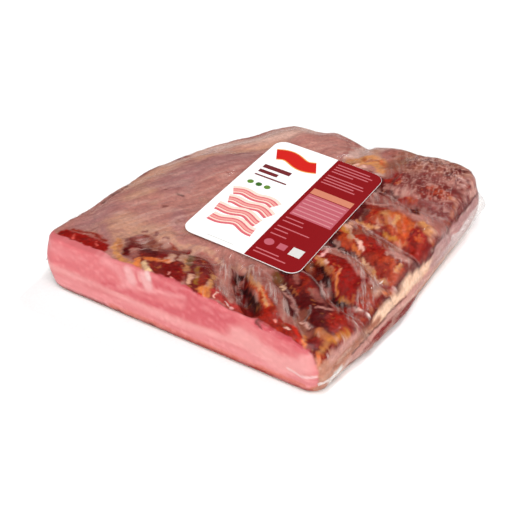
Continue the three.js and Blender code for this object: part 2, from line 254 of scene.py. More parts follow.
plan_points, corner_middles = rounded_plan()
side_starts = [corner_middles[i] for i in SIDE_ENDS]
sides = [make_side(plan_points, a, b) for a, b in zip(side_starts, side_starts[1:] + side_starts[:1])]


def edge_value(side, t, key):
    own = EDGES[key][side]
    before = (EDGES[key][side - 1] + own) / 2
    after = (EDGES[key][(side + 1) % 4] + own) / 2
    value = mix(before, own, smooth(0, CORNER_BLEND, t))
    return mix(value, after, smooth(1 - CORNER_BLEND, 1, t))


# Finer cells where the meat shows most: share of the way along X and Y, and how close the cells lie.
CELL_DENSITY_X = ((0, 0.2, 0.35, 1), (0.7, 0.7, 1.2, 1.2))
CELL_DENSITY_Y = ((0, 0.3, 0.75, 1), (1.3, 1.1, 0.9, 0.9))


def spread(cells, density):
    """Shares from 0 to 1, one for each cell border, closer where the density is higher."""
    even = np.linspace(0, 1, 4 * cells + 1)
    middle = (even[1:] + even[:-1]) / 2
    filled = np.concatenate([[0], np.cumsum(np.interp(middle, *density))])
    return np.interp(np.linspace(0, 1, cells + 1), filled / filled[-1], even)


def edge_places(share_x, share_y):
    """Points, outward normals and edge values round the plan, one for each cell of the top's border."""
    place = {"point": [], "top": [], "bottom": [], "bulge": []}
    for side, share in enumerate((share_x, share_y, 1 - share_x[::-1], 1 - share_y[::-1])):
        t = share[:-1]
        place["point"].append(sides[side](t))
        for key in EDGES:
            place[key].append(edge_value(side, t, key))
    place = {key: np.concatenate(parts) for key, parts in place.items()}
    along = np.roll(place["point"], -1, 0) - np.roll(place["point"], 1, 0)
    for _ in range(max(1, len(share_x) // 24)):
        along = (np.roll(along, 1, 0) + 2 * along + np.roll(along, -1, 0)) / 4
    place["normal"] = right_of(along)
    return place


def wall_rings(place, top_steps, wall_steps, bottom_steps):
    """Rings from the rim of the top, down the wall, to the rim of the underside."""
    rim_xy = place["point"] - place["normal"] * place["top"][:, None]
    rim = top_height(rim_xy[:, 0], rim_xy[:, 1])
    profile = []
    for k in range(top_steps + 1):
        a = k / top_steps * math.pi / 2
        profile.append((place["top"] * (1 - math.sin(a)), rim - place["top"] * (1 - math.cos(a))))
    for k in range(1, wall_steps + 1):
        share = k / (wall_steps + 1)
        bulge = place["bulge"] * math.sin(share * math.pi)
        profile.append((-bulge, mix(rim - place["top"], place["bottom"], share)))
    for k in range(bottom_steps + 1):
        a = k / bottom_steps * math.pi / 2
        inset = place["bottom"] * (1 - math.cos(a))
        profile.append((inset, place["bottom"] * (1 - math.sin(a))))
    rings = []
    for inset, z in profile:
        xy = place["point"] - place["normal"] * np.reshape(inset, (-1, 1))
        rings.append(np.column_stack([xy, z + np.zeros(len(xy))]))
    return rings


def coons_grid(border, share_x, share_y):
    """The top's grid, stretched between its border points."""
    cells_x, cells_y = len(share_x) - 1, len(share_y) - 1
    south = border[: cells_x + 1]
    east = border[cells_x : cells_x + cells_y + 1]
    north = border[cells_x + cells_y : 2 * cells_x + cells_y + 1][::-1]
    west = np.concatenate([border[2 * cells_x + cells_y :], border[:1]])[::-1]
    u = share_x[None, :, None]
    v = share_y[:, None, None]
    grid = south[None] * (1 - v) + north[None] * v + west[:, None] * (1 - u) + east[:, None] * u
    grid = grid - (south[0] * (1 - u) * (1 - v) + south[-1] * u * (1 - v))
    grid = grid - (north[0] * (1 - u) * v + north[-1] * u * v)
    inner = grid[1:-1, 1:-1]
    inner[..., 2] = top_height(inner[..., 0], inner[..., 1])
    return grid


def grid_faces(ids):
    """A grid's quads, facing up, and its border, anticlockwise."""
    quads = np.stack([ids[:-1, :-1], ids[:-1, 1:], ids[1:, 1:], ids[1:, :-1]], -1).reshape(-1, 4)
    border = np.concatenate([ids[0, :-1], ids[:-1, -1], ids[-1, :0:-1], ids[:0:-1, 0]])
    return quads, border


def pack_surface(cells, steps):
    """The whole pack's points, normals and faces, and which points lie below the top's rim.

    Cells are counted along X and Y; steps round the top edge, down the wall, round the bottom edge and
    in over the underside.
    """
    share_x, share_y = spread(cells[0], CELL_DENSITY_X), spread(cells[1], CELL_DENSITY_Y)
    *wall_steps, floor_steps = steps
    rings = wall_rings(edge_places(share_x, share_y), *wall_steps)
    grid = coons_grid(rings[0], share_x, share_y)
    last = rings[-1]
    for k in range(1, floor_steps + 1):
        rings.append(last * (1 - k / (floor_steps + 1)))
    points = np.concatenate([grid.reshape(-1, 3)] + rings[1:] + [np.zeros((1, 3))])
    ids = np.arange(grid.size // 3).reshape(grid.shape[:2])
    quads, rim = grid_faces(ids)
    count = len(rim)
    ring_ids = [rim] + [ids.size + count * k + np.arange(count) for k in range(len(rings) - 1)]
    walls = []
    for upper, lower in zip(ring_ids, ring_ids[1:]):
        walls.append(np.stack([upper, lower, np.roll(lower, -1), np.roll(upper, -1)], -1))
    quads = np.concatenate([quads] + walls)
    inner = ring_ids[-1]
    fan = np.stack([inner, np.full(count, len(points) - 1), np.roll(inner, -1)], -1)
    below_rim = np.arange(len(points)) >= ids.size
    return points, surface_normals(points, quads), quads.tolist() + fan.tolist(), below_rim


def surface_normals(points, quads):
    """Vertex normals of a quad mesh."""
    a, b, c, d = (points[quads[:, k]] for k in range(4))
    facing = np.cross(c - a, d - b)
    normals = np.zeros_like(points)
    for k in range(4):
        np.add.at(normals, quads[:, k], facing)
    length = np.linalg.norm(normals, axis=1)
    return normals / np.maximum(length, 1e-12)[:, None]


# Noise

NOISE_CELLS = 64
NOISE_SEED = 7
noise_table = np.random.RandomState(NOISE_SEED).uniform(-1, 1, (NOISE_CELLS,) * 3)


def noise(points, scale, offset):
    """Smooth noise from -1 to 1 at points in millimetres; scale is one number or one for each axis."""
    p = points / scale + offset
    base = np.floor(p).astype(int)
    f = p - base
    f = f * f * f * (f * (f * 6 - 15) + 10)
    total = np.zeros(len(p))
    for dx in (0, 1):
        for dy in (0, 1):
            for dz in (0, 1):
                i = (base + (dx, dy, dz)) % NOISE_CELLS
                weight = np.prod(np.where((dx, dy, dz), f, 1 - f), axis=1)
                total += weight * noise_table[i[:, 0], i[:, 1], i[:, 2]]
    return total


def layered_noise(points, scale, octaves, offset):
    scale = np.asarray(scale, float)
    total, weight = np.zeros(len(points)), 0.0
    for k in range(octaves):
        total += 0.5**k * noise(points, scale / 2**k, offset + 13.7 * k)
        weight += 0.5**k
    return total / weight


def ridges(points, scale, octaves, offset, sharp):
    """Thin bright lines, such as creases in film: 1 on a line, near 0 away from it."""
    total = np.zeros(len(points))
    for k in range(octaves):
        line = 1 - np.abs(noise(points, np.asarray(scale, float) / 1.7**k, offset + 5.3 * k))
        total = np.maximum(total, np.clip(line, 0, 1) ** sharp * 0.85**k)
    return total


# Colour

def linear(rgb):
    """An 8-bit sRGB colour as linear values."""
    c = np.asarray(rgb, float) / 255
    return np.where(c <= 0.04045, c / 12.92, ((c + 0.055) / 1.055) ** 2.4)


class Paint:
    """Colours on a mesh's points, built up from soft-edged strokes on a noise-warped plan."""

    def __init__(self, points, base, warp, warp_scale, offset):
        self.colour = np.tile(linear(base), (len(points), 1))
        self.x, self.y = (
            points[:, k]
            + warp * layered_noise(points, warp_scale, 3, offset + 1.5 + 30 * k)
            + 0.45 * warp * layered_noise(points, warp_scale / 4, 2, offset + 61.5 + 30 * k)
            for k in (0, 1)
        )

    def blend(self, mask, rgb):
        """Lays one colour, or one for each point, over the paint where the mask is."""
        mask = np.clip(mask, 0, 1)[:, None]
        self.colour = self.colour * (1 - mask) + linear(rgb) * mask

    def scale(self, factors):
        self.colour = self.colour * factors

    def lay(self, strokes):
        for name, path, half_width, soft in strokes:
            self.blend(band(path, half_width, soft, self.x, self.y), COLOURS[name])


# Meshes and materials

def add_object(name, data):
    made = bpy.data.objects.new(name, data)
    bpy.context.scene.collection.objects.link(made)
    return made


def make_mesh(name, points_mm, faces, attributes, material, shade_smooth=True):
    """A mesh object in metres. Each attribute is a colour (n, 3) or a number (n) on the points."""
    mesh = bpy.data.meshes.new(name)
    mesh.from_pydata((points_mm * MM).tolist(), [], faces)
    for key, values in attributes.items():
        values = np.asarray(values, np.float32)
        if values.ndim == 2:
            layer = mesh.color_attributes.new(key, "FLOAT_COLOR", "POINT")
            rgba = np.ones((len(values), 4), np.float32)
            rgba[:, :3] = values
            layer.data.foreach_set("color", rgba.ravel())
        else:
            mesh.attributes.new(key, "FLOAT", "POINT").data.foreach_set("value", values)
    mesh.materials.append(material)
    if shade_smooth:
        mesh.polygons.foreach_set("use_smooth", [True] * len(mesh.polygons))
    mesh.update()
    return add_object(name, mesh)


class Nodes:
    """A short way to build a node tree, of a material or a world."""

    def __init__(self, owner, output="OutputMaterial"):
        owner.use_nodes = True
        self.owner, self.tree = owner, owner.node_tree
        self.tree.nodes.clear()
        self.output = self.add(output)

    def add(self, kind, inputs=None, **settings):
        node = self.tree.nodes.new("ShaderNode" + kind)
        for key, value in settings.items():
            setattr(node, key, value)
        for key, value in (inputs or {}).items():
            if isinstance(value, bpy.types.NodeSocket):
                self.tree.links.new(value, node.inputs[key])
            else:
                node.inputs[key].default_value = value
        return node

    def math(self, operation, *values, clamp=False):
        return self.add("Math", dict(enumerate(values)), operation=operation, use_clamp=clamp).outputs[0]

    def attribute(self, name, output="Fac"):
        return self.add("Attribute", attribute_name=name).outputs[output]

    def noise(self, scale, detail, roughness, vector):
        inputs = {"Vector": vector, "Scale": scale, "Detail": detail, "Roughness": roughness}
        return self.add("TexNoise", inputs).outputs["Fac"]

    def ramp(self, value, low, high, to_low, to_high, **settings):
        """Maps value from low..high to to_low..to_high, clamped."""
        keys = ("Value", "From Min", "From Max", "To Min", "To Max")
        inputs = dict(zip(keys, (value, low, high, to_low, to_high)))
        return self.add("MapRange", inputs, **settings).outputs["Result"]

    def object_position(self):
        return self.add("TexCoord").outputs["Object"]

    def shaded(self, colour, shade):
        return self.add("VectorMath", {0: colour, 1: shade}, operation="MULTIPLY").outputs[0]

    def bump(self, height, strength, distance):
        inputs = {"Height": height, "Strength": strength, "Distance": distance}
        return self.add("Bump", inputs).outputs[0]

    def surface(self, colour, roughness, normal, **more):
        inputs = {"Base Color": colour, "Roughness": roughness, "Normal": normal, **more}
        return self.add("BsdfPrincipled", inputs).outputs[0]

    def finish(self, shader):
        self.tree.links.new(shader, self.output.inputs["Surface"])
        return self.owner


def meat_material():
    n = Nodes(bpy.data.materials.new("smoked_bacon"))
    place = n.object_position()
    grain = n.noise(330.0, 6.0, 0.62, place)
    shade = n.math("MULTIPLY_ADD", n.ramp(grain, 0.34, 0.66, -0.42, 0.32), n.attribute("mottle"), 1.0)
    colour = n.shaded(n.attribute("tint", "Color"), shade)
    rough = n.ramp(n.noise(420.0, 3.0, 0.6, place), 0.3, 0.7, 0.4, 0.6)
    normal = n.bump(grain, 0.35, 0.0006)
    return n.finish(n.surface(colour, rough, normal, **{"Specular IOR Level": 0.12}))


# How the stretched film's streaks are turned in plan, where they lean left and where they lean right.
STRETCH_TURNS = (62, -58)
# How often they repeat along, across and up, to the metre.
STREAK_SCALE = (42, 330, 80)
# The film's mirror: index, share of it, and its most, so that edges seen flat don't whiten.
FILM_INDEX, FILM_SHINE, FILM_SHINE_MOST = 1.38, 0.36, 0.08


def film_material():
    n = Nodes(bpy.data.materials.new("clear_film"))
    place = n.object_position()
    fine = n.noise(340.0, 4.0, 0.65, place)
    wrinkle = n.noise(120.0, 3.0, 0.6, place)
    normal = n.bump(n.math("MULTIPLY_ADD", fine, 0.4, wrinkle), 0.4, 0.0012)
    lines = []
    for turn in STRETCH_TURNS:
        along = n.add("Mapping", {"Vector": place, "Rotation": (0, 0, -math.radians(turn))}).outputs[0]
        stretched = n.add("Mapping", {"Vector": along, "Scale": STREAK_SCALE}).outputs[0]
        lines.append(n.ramp(n.noise(1.0, 4.0, 0.6, stretched), 0.47, 0.64, 0.0, 0.6))
    leaning = {"Factor": n.attribute("leans_right"), "A": lines[0], "B": lines[1]}
    streaked = n.math("MULTIPLY", n.attribute("streak"), n.add("Mix", leaning).outputs["Result"])
    milky = n.math("MULTIPLY", n.attribute("veil"), n.ramp(fine, 0.35, 0.65, 0.65, 1.3))
    alpha = n.math("ADD", milky, streaked, clamp=True)
    edge_on = n.add("Fresnel", {"IOR": FILM_INDEX, "Normal": normal}).outputs[0]
    shine = n.math("MINIMUM", n.math("MULTIPLY", edge_on, FILM_SHINE), FILM_SHINE_MOST)
    shine = n.math("MULTIPLY", shine, n.attribute("gloss"))
    clear = n.add("BsdfTransparent").outputs[0]
    gloss = n.add("BsdfGlossy", {"Roughness": 0.09, "Normal": normal}).outputs[0]
    sheet = n.add("MixShader", {0: shine, 1: clear, 2: gloss}).outputs[0]
    milk = n.surface(n.attribute("veil_tint", "Color"), 0.35, normal)
    return n.finish(n.add("MixShader", {0: alpha, 1: sheet, 2: milk}).outputs[0])


def plain_material(name, base, roughness):
    n = Nodes(bpy.data.materials.new(name))
    fac = n.noise(400.0, 3.0, 0.5, n.object_position())
    colour = n.shaded((*linear(base),), n.ramp(fac, 0.3, 0.7, 0.98, 1.02))
    return n.finish(n.surface(colour, roughness, n.bump(fac, 0.05, 0.0002)))


# Bacon slab

SLAB_CELLS, SLAB_STEPS = (256, 270), (4, 17, 4, 2)
# How far the meat lies under the pack's form, and how much deeper its grooves are, for their depth and width.
SLAB_GAP, GROOVE_EXTRA, GROOVE_NARROWING = 0.75, 0.25, 0.6
CRAG_DEPTH = 0.9
# The slab's lowest height, above the film under it.
SLAB_FOOT = 0.3

# Where the cut face begins, in plan, from left to right.
CUT_EDGE_X = (-128, -116, -70, -56, -36, -24, -10, 12, 19, 24, 30, 36, 50, 58, 74, 90, 110, 118, 126)
CUT_EDGE_Y = (-130, -134, -135, -139, -140, -141, -139, -139, -141, -141.5, -141, -139, -138, -133, -137,
              -137, -138, -140, -141)
# How high the meat side's red reaches down the right wall, from front to back.
SIDE_EDGE_Y = (-143, -130, -112, -97, -88, -78, -55, -40, -25, -8, 2, 18, 28, 60, 100, 140)
SIDE_EDGE_Z = (40, 41, 38, 33, 31, 36, 37, 34, 39, 39, 33, 33, 39, 39, 42, 43)
# Dark rim of the meat side, along that border from this place on.
RIM_COLOUR, RIM_START, RIM_HALF_WIDTH = "dark_wine", 4, 4.2
# Marks on the right wall are placed on this upright plane, and lean this far back and up from it to the wall.
WALL_PLANE_X, WALL_LEAN_BACK, WALL_LEAN_UP = 132.5, 1.55, 1.27

# The meat lies under the film, so its colours are laid this far to the back left of where they show.
MEAT_LEAN = (-1.6, 1.8)
# Film and gloss pale the colours under them, so the paint is this much deeper in red, green and blue.
MEAT_SCALE, FACE_SCALE = (0.86, 0.73, 0.71), (0.71, 0.65, 0.66)
# Bases of the meat side under its haze, of its ribs, of the walls and of the cut face; the first is the
# film's haze with a soft painted reflection of the light in it.
VEIL, RIB_RED = (182, 129, 119), (140, 40, 28)
WALL_BASES = {"right": (184, 126, 104), "rest": (204, 158, 140), "under": (172, 104, 58)}
FACE_BASE = (232, 130, 132)
# Shades that the meat side's noise lays over the strokes; the last two on the shrunken back right, the second
# of them the pale of the film's creases with painted highlights on them.
DARK_SHADE, WARM_SHADE = (92, 10, 10), (206, 70, 26)
AMBER_SHADE, OLIVE_SHADE = (222, 140, 76), (176, 150, 120)
PALE_STREAK, SHRUNK_RED, SHRUNK_CREASE_AND_SHEEN = (218, 184, 170), (108, 20, 18), (236, 196, 182)
# Darker shades between the streaks, on the pale left and on the red right.
BROWN_SHADE, RED_SHADE = np.array((148, 98, 96)), np.array((138, 60, 54))
# Pale and dark streaks of the walls and of the cut face, and the face's fibres.
WALL_PALE, WALL_DARK = (226, 200, 182), (160, 100, 84)
FACE_PALE, FACE_DARK, FACE_FIBRE = (250, 178, 176), (216, 96, 104), (252, 190, 188)

# Colours of meat, fat, smoke and film haze, as strokes name them.
COLOURS = {
    "black_red": (48, 5, 11),
    "dark_wine": (88, 13, 15),
    "wine": (122, 15, 12),
    "deep_red": (146, 18, 10),
    "red": (156, 30, 14),
    "scarlet": (200, 34, 22),
    "maroon": (118, 32, 28),
    "dark_brown": (96, 42, 34),
    "dark_cocoa": (100, 54, 50),
    "chestnut": (124, 48, 34),
    "brick": (146, 46, 32),
    "dark_olive": (108, 72, 28),
    "olive": (150, 100, 34),
    "cocoa": (126, 62, 58),
    "brown": (130, 76, 70),
    "light_brown": (150, 84, 76),
    "umber": (154, 96, 76),
    "russet": (152, 64, 44),
    "rust": (174, 64, 28),
    "ember": (202, 82, 34),
    "raspberry": (186, 62, 58),
    "orange": (196, 96, 46),
    "light_orange": (210, 114, 56),
    "apricot": (226, 138, 72),
    "tan": (182, 108, 64),
    "mustard": (198, 130, 52),
    "sand": (196, 140, 90),
    "gold": (214, 152, 92),
    "coral": (224, 96, 84),
    "dusk_rose": (168, 104, 94),
    "mauve": (170, 124, 122),
    "rose_brown": (186, 122, 110),
    "rose": (190, 136, 126),
    "beige": (196, 152, 128),
    "pale_beige": (208, 164, 140),
    "pale_rose": (208, 180, 170),
    "cream_rose": (220, 190, 176),
    "peach": (226, 178, 150),
    "cream": (228, 188, 160),
    "pale_peach": (238, 200, 160),
    "butter": (242, 216, 164),
    "blush": (244, 200, 184),
    "pink": (252, 162, 148),
    "highlight": (250, 232, 222),
    "frost": (216, 214, 208),
    "deep_lean": (216, 88, 98),
    "lean": (226, 108, 115),
    "soft_lean": (236, 129, 132),
    "pale_lean": (244, 157, 157),
    "fat": (249, 175, 171),
    # The two palest fats also paint highlights: glints on the film over the meat, and a white line along the
    # cut face's fat.
    "pale_fat_and_glint": (250, 190, 187),
    "white_fat_and_glint": (253, 224, 218),
    "salmon": (228, 126, 104),
}

# Colours on the meat side as seen through the film, laid in turn: colour, path in plan, half width, softness.
TOP_STROKES = [
    # the hazy left and back: the film's milky haze, with a soft painted reflection of the light over it
    ("beige", [(-98, -104), (-84, -94), (-64, -100), (-50, -92)], 12, 9),
    ("pale_beige", [(-116, -44), (-106, 0), (-98, 36)], 9, 8),
    ("mauve", [(-108, -110), (-104, -84)], 9, 8),
    ("mauve", [(-92, -110), (-72, -116)], 6, 6),
    ("mauve", [(-84, -30), (-78, 8), (-60, 40)], 14, 12),
    ("beige", [(-100, -64), (-92, -50)], 6, 5),
    ("mauve", [(-52, -60), (-46, -72)], 6, 4),
    ("cream_rose", [(-104, 44), (-74, 72), (-54, 96), (-40, 130)], 13, 9),
    ("pale_beige", [(-90, 20), (-76, 40), (-63, 61), (-53, 72), (-46, 82)], 5, 5),
    ("beige", [(-120, -20), (-118, 10)], 4, 3),
    ("rose", [(-20, 86), (-14, 116), (-22, 146)], 17, 5),
    ("pale_rose", [(28, 112), (32, 142)], 12, 5),
    ("beige", [(28, 120), (36, 108)], 4, 3),
    ("pale_rose", [(14, 82), (16, 100), (15, 122), (12, 142)], 4.5, 2),
    ("dusk_rose", [(12, 80), (10, 102), (0, 126), (-14, 146)], 1.6, 1.2),
    ("gold", [(22, 90), (28, 100), (42, 102), (50, 94)], 8, 2),
    ("tan", [(26, 102), (32, 99), (42, 106)], 2, 1.3),
    ("light_orange", [(43, 105), (49, 98), (55, 91)], 2.2, 1.3),
    # painted glints: pale specks of light on the film
    ("blush", [(25, 84), (27, 90)], 1.4, 0.9),
    ("blush", [(30, 85), (34, 90)], 1.3, 0.9),
    ("olive", [(23, 88), (23.5, 84)], 1, 0.8),
    ("rose", [(34, 84), (40, 90)], 3, 1.6),
    ("maroon", [(42, 83), (50, 81)], 2.4, 1.4),
    ("pale_rose", [(46, 84), (58, 87)], 1.6, 1),
    ("dusk_rose", [(44, 120), (60, 120)], 10, 4),
    ("cocoa", [(43, 118), (48, 118)], 0.9, 0.7),
    ("cocoa", [(51, 119), (54, 120)], 0.9, 0.7),
    ("cocoa", [(56, 114), (59, 112)], 1.1, 0.8),
    ("brown", [(50, 125), (55, 125)], 0.9, 0.7),
    # back right
    ("umber", [(66, 100), (66, 122), (98, 122)], 18, 5),
    ("cocoa", [(66, 82), (84, 86), (92, 98)], 10, 4),
    ("maroon", [(96, 82), (112, 88), (120, 82)], 12, 4),
    ("rust", [(98, 88), (112, 84)], 4, 3),
    ("tan", [(115, 84), (122, 83)], 1.4, 1),
    ("dark_wine", [(102, 108), (106, 113), (109, 125)], 3.2, 1.4),
    ("maroon", [(116, 106), (119, 100)], 2, 1.4),
    ("maroon", [(120, 120), (121, 106)], 1.2, 0.9),
    ("cocoa", [(66, 104), (70, 108)], 1.8, 1.2),
    ("brick", [(84, 102), (88, 104)], 1.6, 1.1),
    ("brown", [(76, 118), (79, 113)], 1.3, 1),
    ("deep_red", [(61, 79), (66, 87), (70, 79)], 3.6, 1.2),
    ("dark_wine", [(56, 79), (60, 72)], 2.6, 1.4),
    ("rose", [(61, 72.5), (78, 72), (92, 71)], 0.8, 0.7),
    # painted shade: a dark line along the first groove's crease
    ("dark_wine", [(60, 69), (72, 68), (84, 65), (94, 62.5), (102, 62.5)], 2.4, 1),
    ("red", [(78, 67.5), (88, 67.5), (97, 66)], 2, 1),
    # painted highlights: orange glints on the red lens, and the white arc over it
    ("orange", [(86, 68), (94, 67)], 0.7, 0.6),
    ("highlight", [(100, 63), (106, 65), (118, 68)], 0.8, 0.6),
    ("wine", [(124, 74), (127, 62)], 1.6, 1),
    ("maroon", [(98, 69), (112, 71), (124, 73)], 4.5, 1.6),
    ("maroon", [(126, 78), (126.5, 98), (122, 112)], 1.6, 1),
    # first lobe behind the ribs
    ("dusk_rose", [(66, 53), (92, 51), (122, 52)], 14, 3),
    ("light_brown", [(64, 60), (66, 46), (76, 46)], 6, 3),
    ("brown", [(64, 56), (65, 50)], 2.2, 1.4),
    ("brown", [(70, 56), (74, 54)], 1.8, 1.2),
    ("cocoa", [(66, 44), (70, 48)], 1.6, 1.2),
    ("rose", [(64, 42), (74, 46), (82, 52)], 2.2, 1.6),
    ("rose", [(84, 60), (88, 46)], 3, 2),
    ("mauve", [(104, 60), (116, 58)], 6, 3),
    ("rose", [(104, 46), (116, 46)], 6, 3),
    ("russet", [(92, 60), (95, 50)], 2.6, 1.8),
    ("dark_wine", [(97, 62), (98, 55), (101, 48)], 3, 1.2),
    ("brick", [(66, 38), (78, 37)], 4.5, 2),
    ("dark_wine", [(61, 38), (62, 20)], 3.2, 1.8),
    ("dark_cocoa", [(66, 32), (67, 28)], 3, 1.8),
    ("dark_brown", [(67, 24), (68, 20)], 2.6, 1.6),
    ("rust", [(73, 32), (78, 25)], 5, 2),
    ("red", [(74, 36), (72, 26)], 2, 1.4),
    ("tan", [(83, 34), (86, 24)], 5, 2),
    ("sand", [(82, 33), (88, 31)], 2, 1.4),
    ("russet", [(81, 29), (86, 22)], 1.2, 1),
    ("orange", [(93, 34), (104, 28), (106, 16)], 8, 2.5),
    ("gold", [(92, 36), (94, 20)], 1.8, 1.2),
    ("ember", [(100, 36), (104, 24), (108, 20)], 2.6, 1.6),
    ("rust", [(92, 20), (100, 16), (108, 14)], 2.2, 1.2),
    ("gold", [(112, 38), (121, 36), (120, 31)], 3.2, 2),
    ("red", [(115, 25), (119, 16), (122, 10)], 6, 1.8),
    ("wine", [(113, 28), (112, 16)], 1.6, 1.2),
    ("ember", [(117, 22), (120, 15)], 1.4, 1),
    ("wine", [(126, 26), (127, 10)], 2.4, 1.2),
    ("pale_beige", [(124, 38), (124.5, 25)], 1.6, 1),
    ("gold", [(65, 18.5), (72, 17.5), (83, 17)], 0.9, 0.8),
    ("chestnut", [(64, 16), (78, 15.2), (90, 14.5)], 0.8, 0.7),
    ("mustard", [(90, 14), (98, 12.5), (104, 11)], 1.4, 0.9),
    ("salmon", [(103, 9.5), (108, 8)], 1.8, 1),
    # second
    ("russet", [(66, 8), (84, 2), (104, 0)], 9, 2),
    ("red", [(84, -8), (100, -13), (106, -24)], 8, 2),
    ("deep_red", [(92, -16), (98, -8)], 2.6, 1.8),
    ("peach", [(62, 13), (64, 4)], 2.6, 1.8),
    ("rust", [(64, -6), (74, -13)], 5, 1.8),
    ("dark_wine", [(61, -8), (62, -20)], 3, 1.8),
    ("dark_cocoa", [(63, -16), (68, -16)], 1.4, 1),
    ("mustard", [(62, 1), (68, -3), (74, -8)], 2.4, 1.3),
    ("pale_beige", [(66, 1), (75, -7), (84, -13)], 1.1, 0.8),
    # painted glint
    ("blush", [(83, -11), (88, -16)], 1.6, 0.9),
    ("light_orange", [(80, -16), (86, -19)], 1.6, 1),
    ("rose", [(108, 2), (112, -8), (121, -6)], 5.5, 2),
    ("brown", [(115, 4), (120, 4)], 1.2, 0.9),
    ("brown", [(111, -12), (113, -15)], 1.6, 1),
    ("cocoa", [(118, -12), (119, -15)], 1.3, 0.9),
    ("brick", [(98, -20), (108, -28), (112, -22)], 5, 2),
    ("rust", [(112, -18), (120, -22), (122, -32)], 5, 2),
    ("brick", [(112, -22), (118, -30)], 1.4, 1),
    ("gold", [(121, -16), (119, -24)], 1.2, 0.9),
    # painted shade: a dark line along the groove's crease
    ("black_red", [(60, -17), (72, -19), (80, -20.5), (90, -22)], 1.3, 0.9),
    ("sand", [(91, -22.5), (96, -26.5), (102, -30.5), (108, -34), (113, -36), (119, -35)], 1.3, 0.9),
    ("pale_peach", [(92, -23), (96, -26)], 0.9, 0.7),
    ("dark_wine", [(125, 4), (127.5, -8), (127, -34)], 1.7, 0.9),
    # third, the big red one
    ("deep_red", [(72, -38), (90, -44), (102, -58), (110, -60)], 15, 1.8),
    ("deep_red", [(86, -44), (98, -54)], 7, 4),
    ("wine", [(108, -52), (112, -66)], 4.5, 3),
    ("rose_brown", [(68, -26), (82, -28), (96, -36), (104, -42)], 6, 2),
    ("tan", [(94, -29), (102, -36)], 2.6, 1.8),
    ("dark_brown", [(105, -36), (108, -45)], 0.8, 0.7),
    ("dark_brown", [(109, -38), (112, -46)], 0.7, 0.7),
    ("rose", [(113, -40), (117, -52)], 4.5, 2),
    ("russet", [(115, -54), (118, -68)], 3.4, 2),
    ("umber", [(116, -48), (118, -58)], 1.3, 1),
    ("beige", [(121, -38), (121.5, -62)], 1.2, 0.9),
    ("deep_red", [(124, -38), (124, -52)], 1.8, 0.9),
    ("light_orange", [(127, -38), (127.5, -66)], 1.3, 0.8),
    ("wine", [(124.5, -54), (125, -72)], 1.8, 1),
    ("pale_fat_and_glint", [(64, -22), (66, -27), (67, -32), (65, -36), (64, -41)], 1.2, 0.8),
    ("gold", [(64, -43), (70, -47)], 2.4, 1.3),
    # painted glint
    ("blush", [(71.5, -45.5), (74, -47)], 1.3, 0.8),
    ("tan", [(73, -49), (80, -54)], 1.8, 1.2),
    ("light_orange", [(87, -50), (88, -56), (91, -62)], 1.1, 0.8),
    ("apricot", [(88, -58), (93, -66)], 1.1, 0.8),
    ("orange", [(82, -54), (86, -58)], 1, 0.8),
    ("mustard", [(97, -69.5), (106, -72)], 1.4, 0.9),
    ("tan", [(62, -52), (64, -62), (68, -68)], 3, 1.4),
    ("chestnut", [(65, -54), (68, -60)], 3, 1.6),
    ("dark_wine", [(71, -53), (77, -60)], 3.2, 1.4),
    ("rose", [(79, -60), (84, -66)], 2, 1.2),
    # painted shade: a dark line along the groove's crease
    ("black_red", [(63, -48), (72, -51.5), (78, -57), (84, -63.5), (90, -68), (98, -72), (105, -74),
                   (113, -74.5)], 1.5, 0.9),
    ("highlight", [(107, -75.2), (116, -75), (119, -73.5)], 0.7, 0.5),
    # front right
    ("dark_wine", [(66, -74), (84, -88), (104, -104)], 17, 2),
    ("wine", [(66, -66), (78, -76)], 4, 2),
    ("light_brown", [(60, -70), (66, -76)], 2.6, 1.5),
    ("dusk_rose", [(84, -66), (92, -76), (97, -82)], 3, 1.5),
    ("brick", [(90, -70), (95, -84)], 0.9, 0.8),
    ("maroon", [(61, -79), (70, -83)], 2.6, 1.6),
    ("dark_wine", [(66, -86), (78, -96)], 5, 2.4),
    ("light_brown", [(80, -78), (90, -86)], 2.8, 1.5),
    ("dark_wine", [(82, -87), (88, -92)], 2, 1.2),
    ("pale_peach", [(57, -82), (61, -86)], 0.8, 0.7),
    ("rose", [(99, -76), (104, -84), (104, -89), (98, -94), (94, -96)], 1.6, 0.9),
    ("dark_cocoa", [(95, -86), (98, -90)], 1.6, 1),
    ("red", [(108, -82), (118, -92), (126, -92)], 8, 2),
    ("wine", [(106, -80), (112, -98)], 1.2, 1),
    ("wine", [(119, -80), (124, -96)], 1.2, 1),
    ("rose_brown", [(114, -78), (119, -92)], 1, 0.8),
    ("beige", [(125, -92), (128, -100)], 0.9, 0.8),
    ("dark_wine", [(101, -101), (102, -110)], 4.4, 1.8),
    ("red", [(110, -98), (117, -106)], 6, 2.4),
    ("umber", [(84, -106), (90, -114), (98, -120)], 6, 2.4),
    ("dark_brown", [(90, -101), (93, -108)], 1.4, 0.9),
    ("dark_brown", [(95, -111), (101, -117)], 0.8, 0.7),
    ("blush", [(91, -110), (100, -114.5)], 0.8, 0.6),
    ("tan", [(108, -117), (116, -118), (118, -124)], 3.2, 1.6),
    ("dusk_rose", [(60, -98), (72, -108), (82, -118), (94, -123)], 4.6, 2),
    ("dark_wine", [(64, -91), (78, -101), (82, -110)], 3.4, 1.4),
    ("rose", [(62, -89), (73, -94), (82, -102)], 0.9, 0.8),
    ("red", [(68, -126), (84, -131), (106, -131)], 6.5, 1.8),
    ("scarlet", [(93, -126), (103, -132)], 3, 1.8),
    ("russet", [(85, -127), (88, -129)], 1.4, 1),
    # painted glints: pink and pale specks of light
    ("pink", [(79.5, -128), (80.5, -128.5)], 1.2, 0.7),
    ("blush", [(90, -130.5), (90.2, -131.5)], 1, 0.6),
    ("apricot", [(101, -122), (104, -130), (107, -136)], 1.2, 0.9),
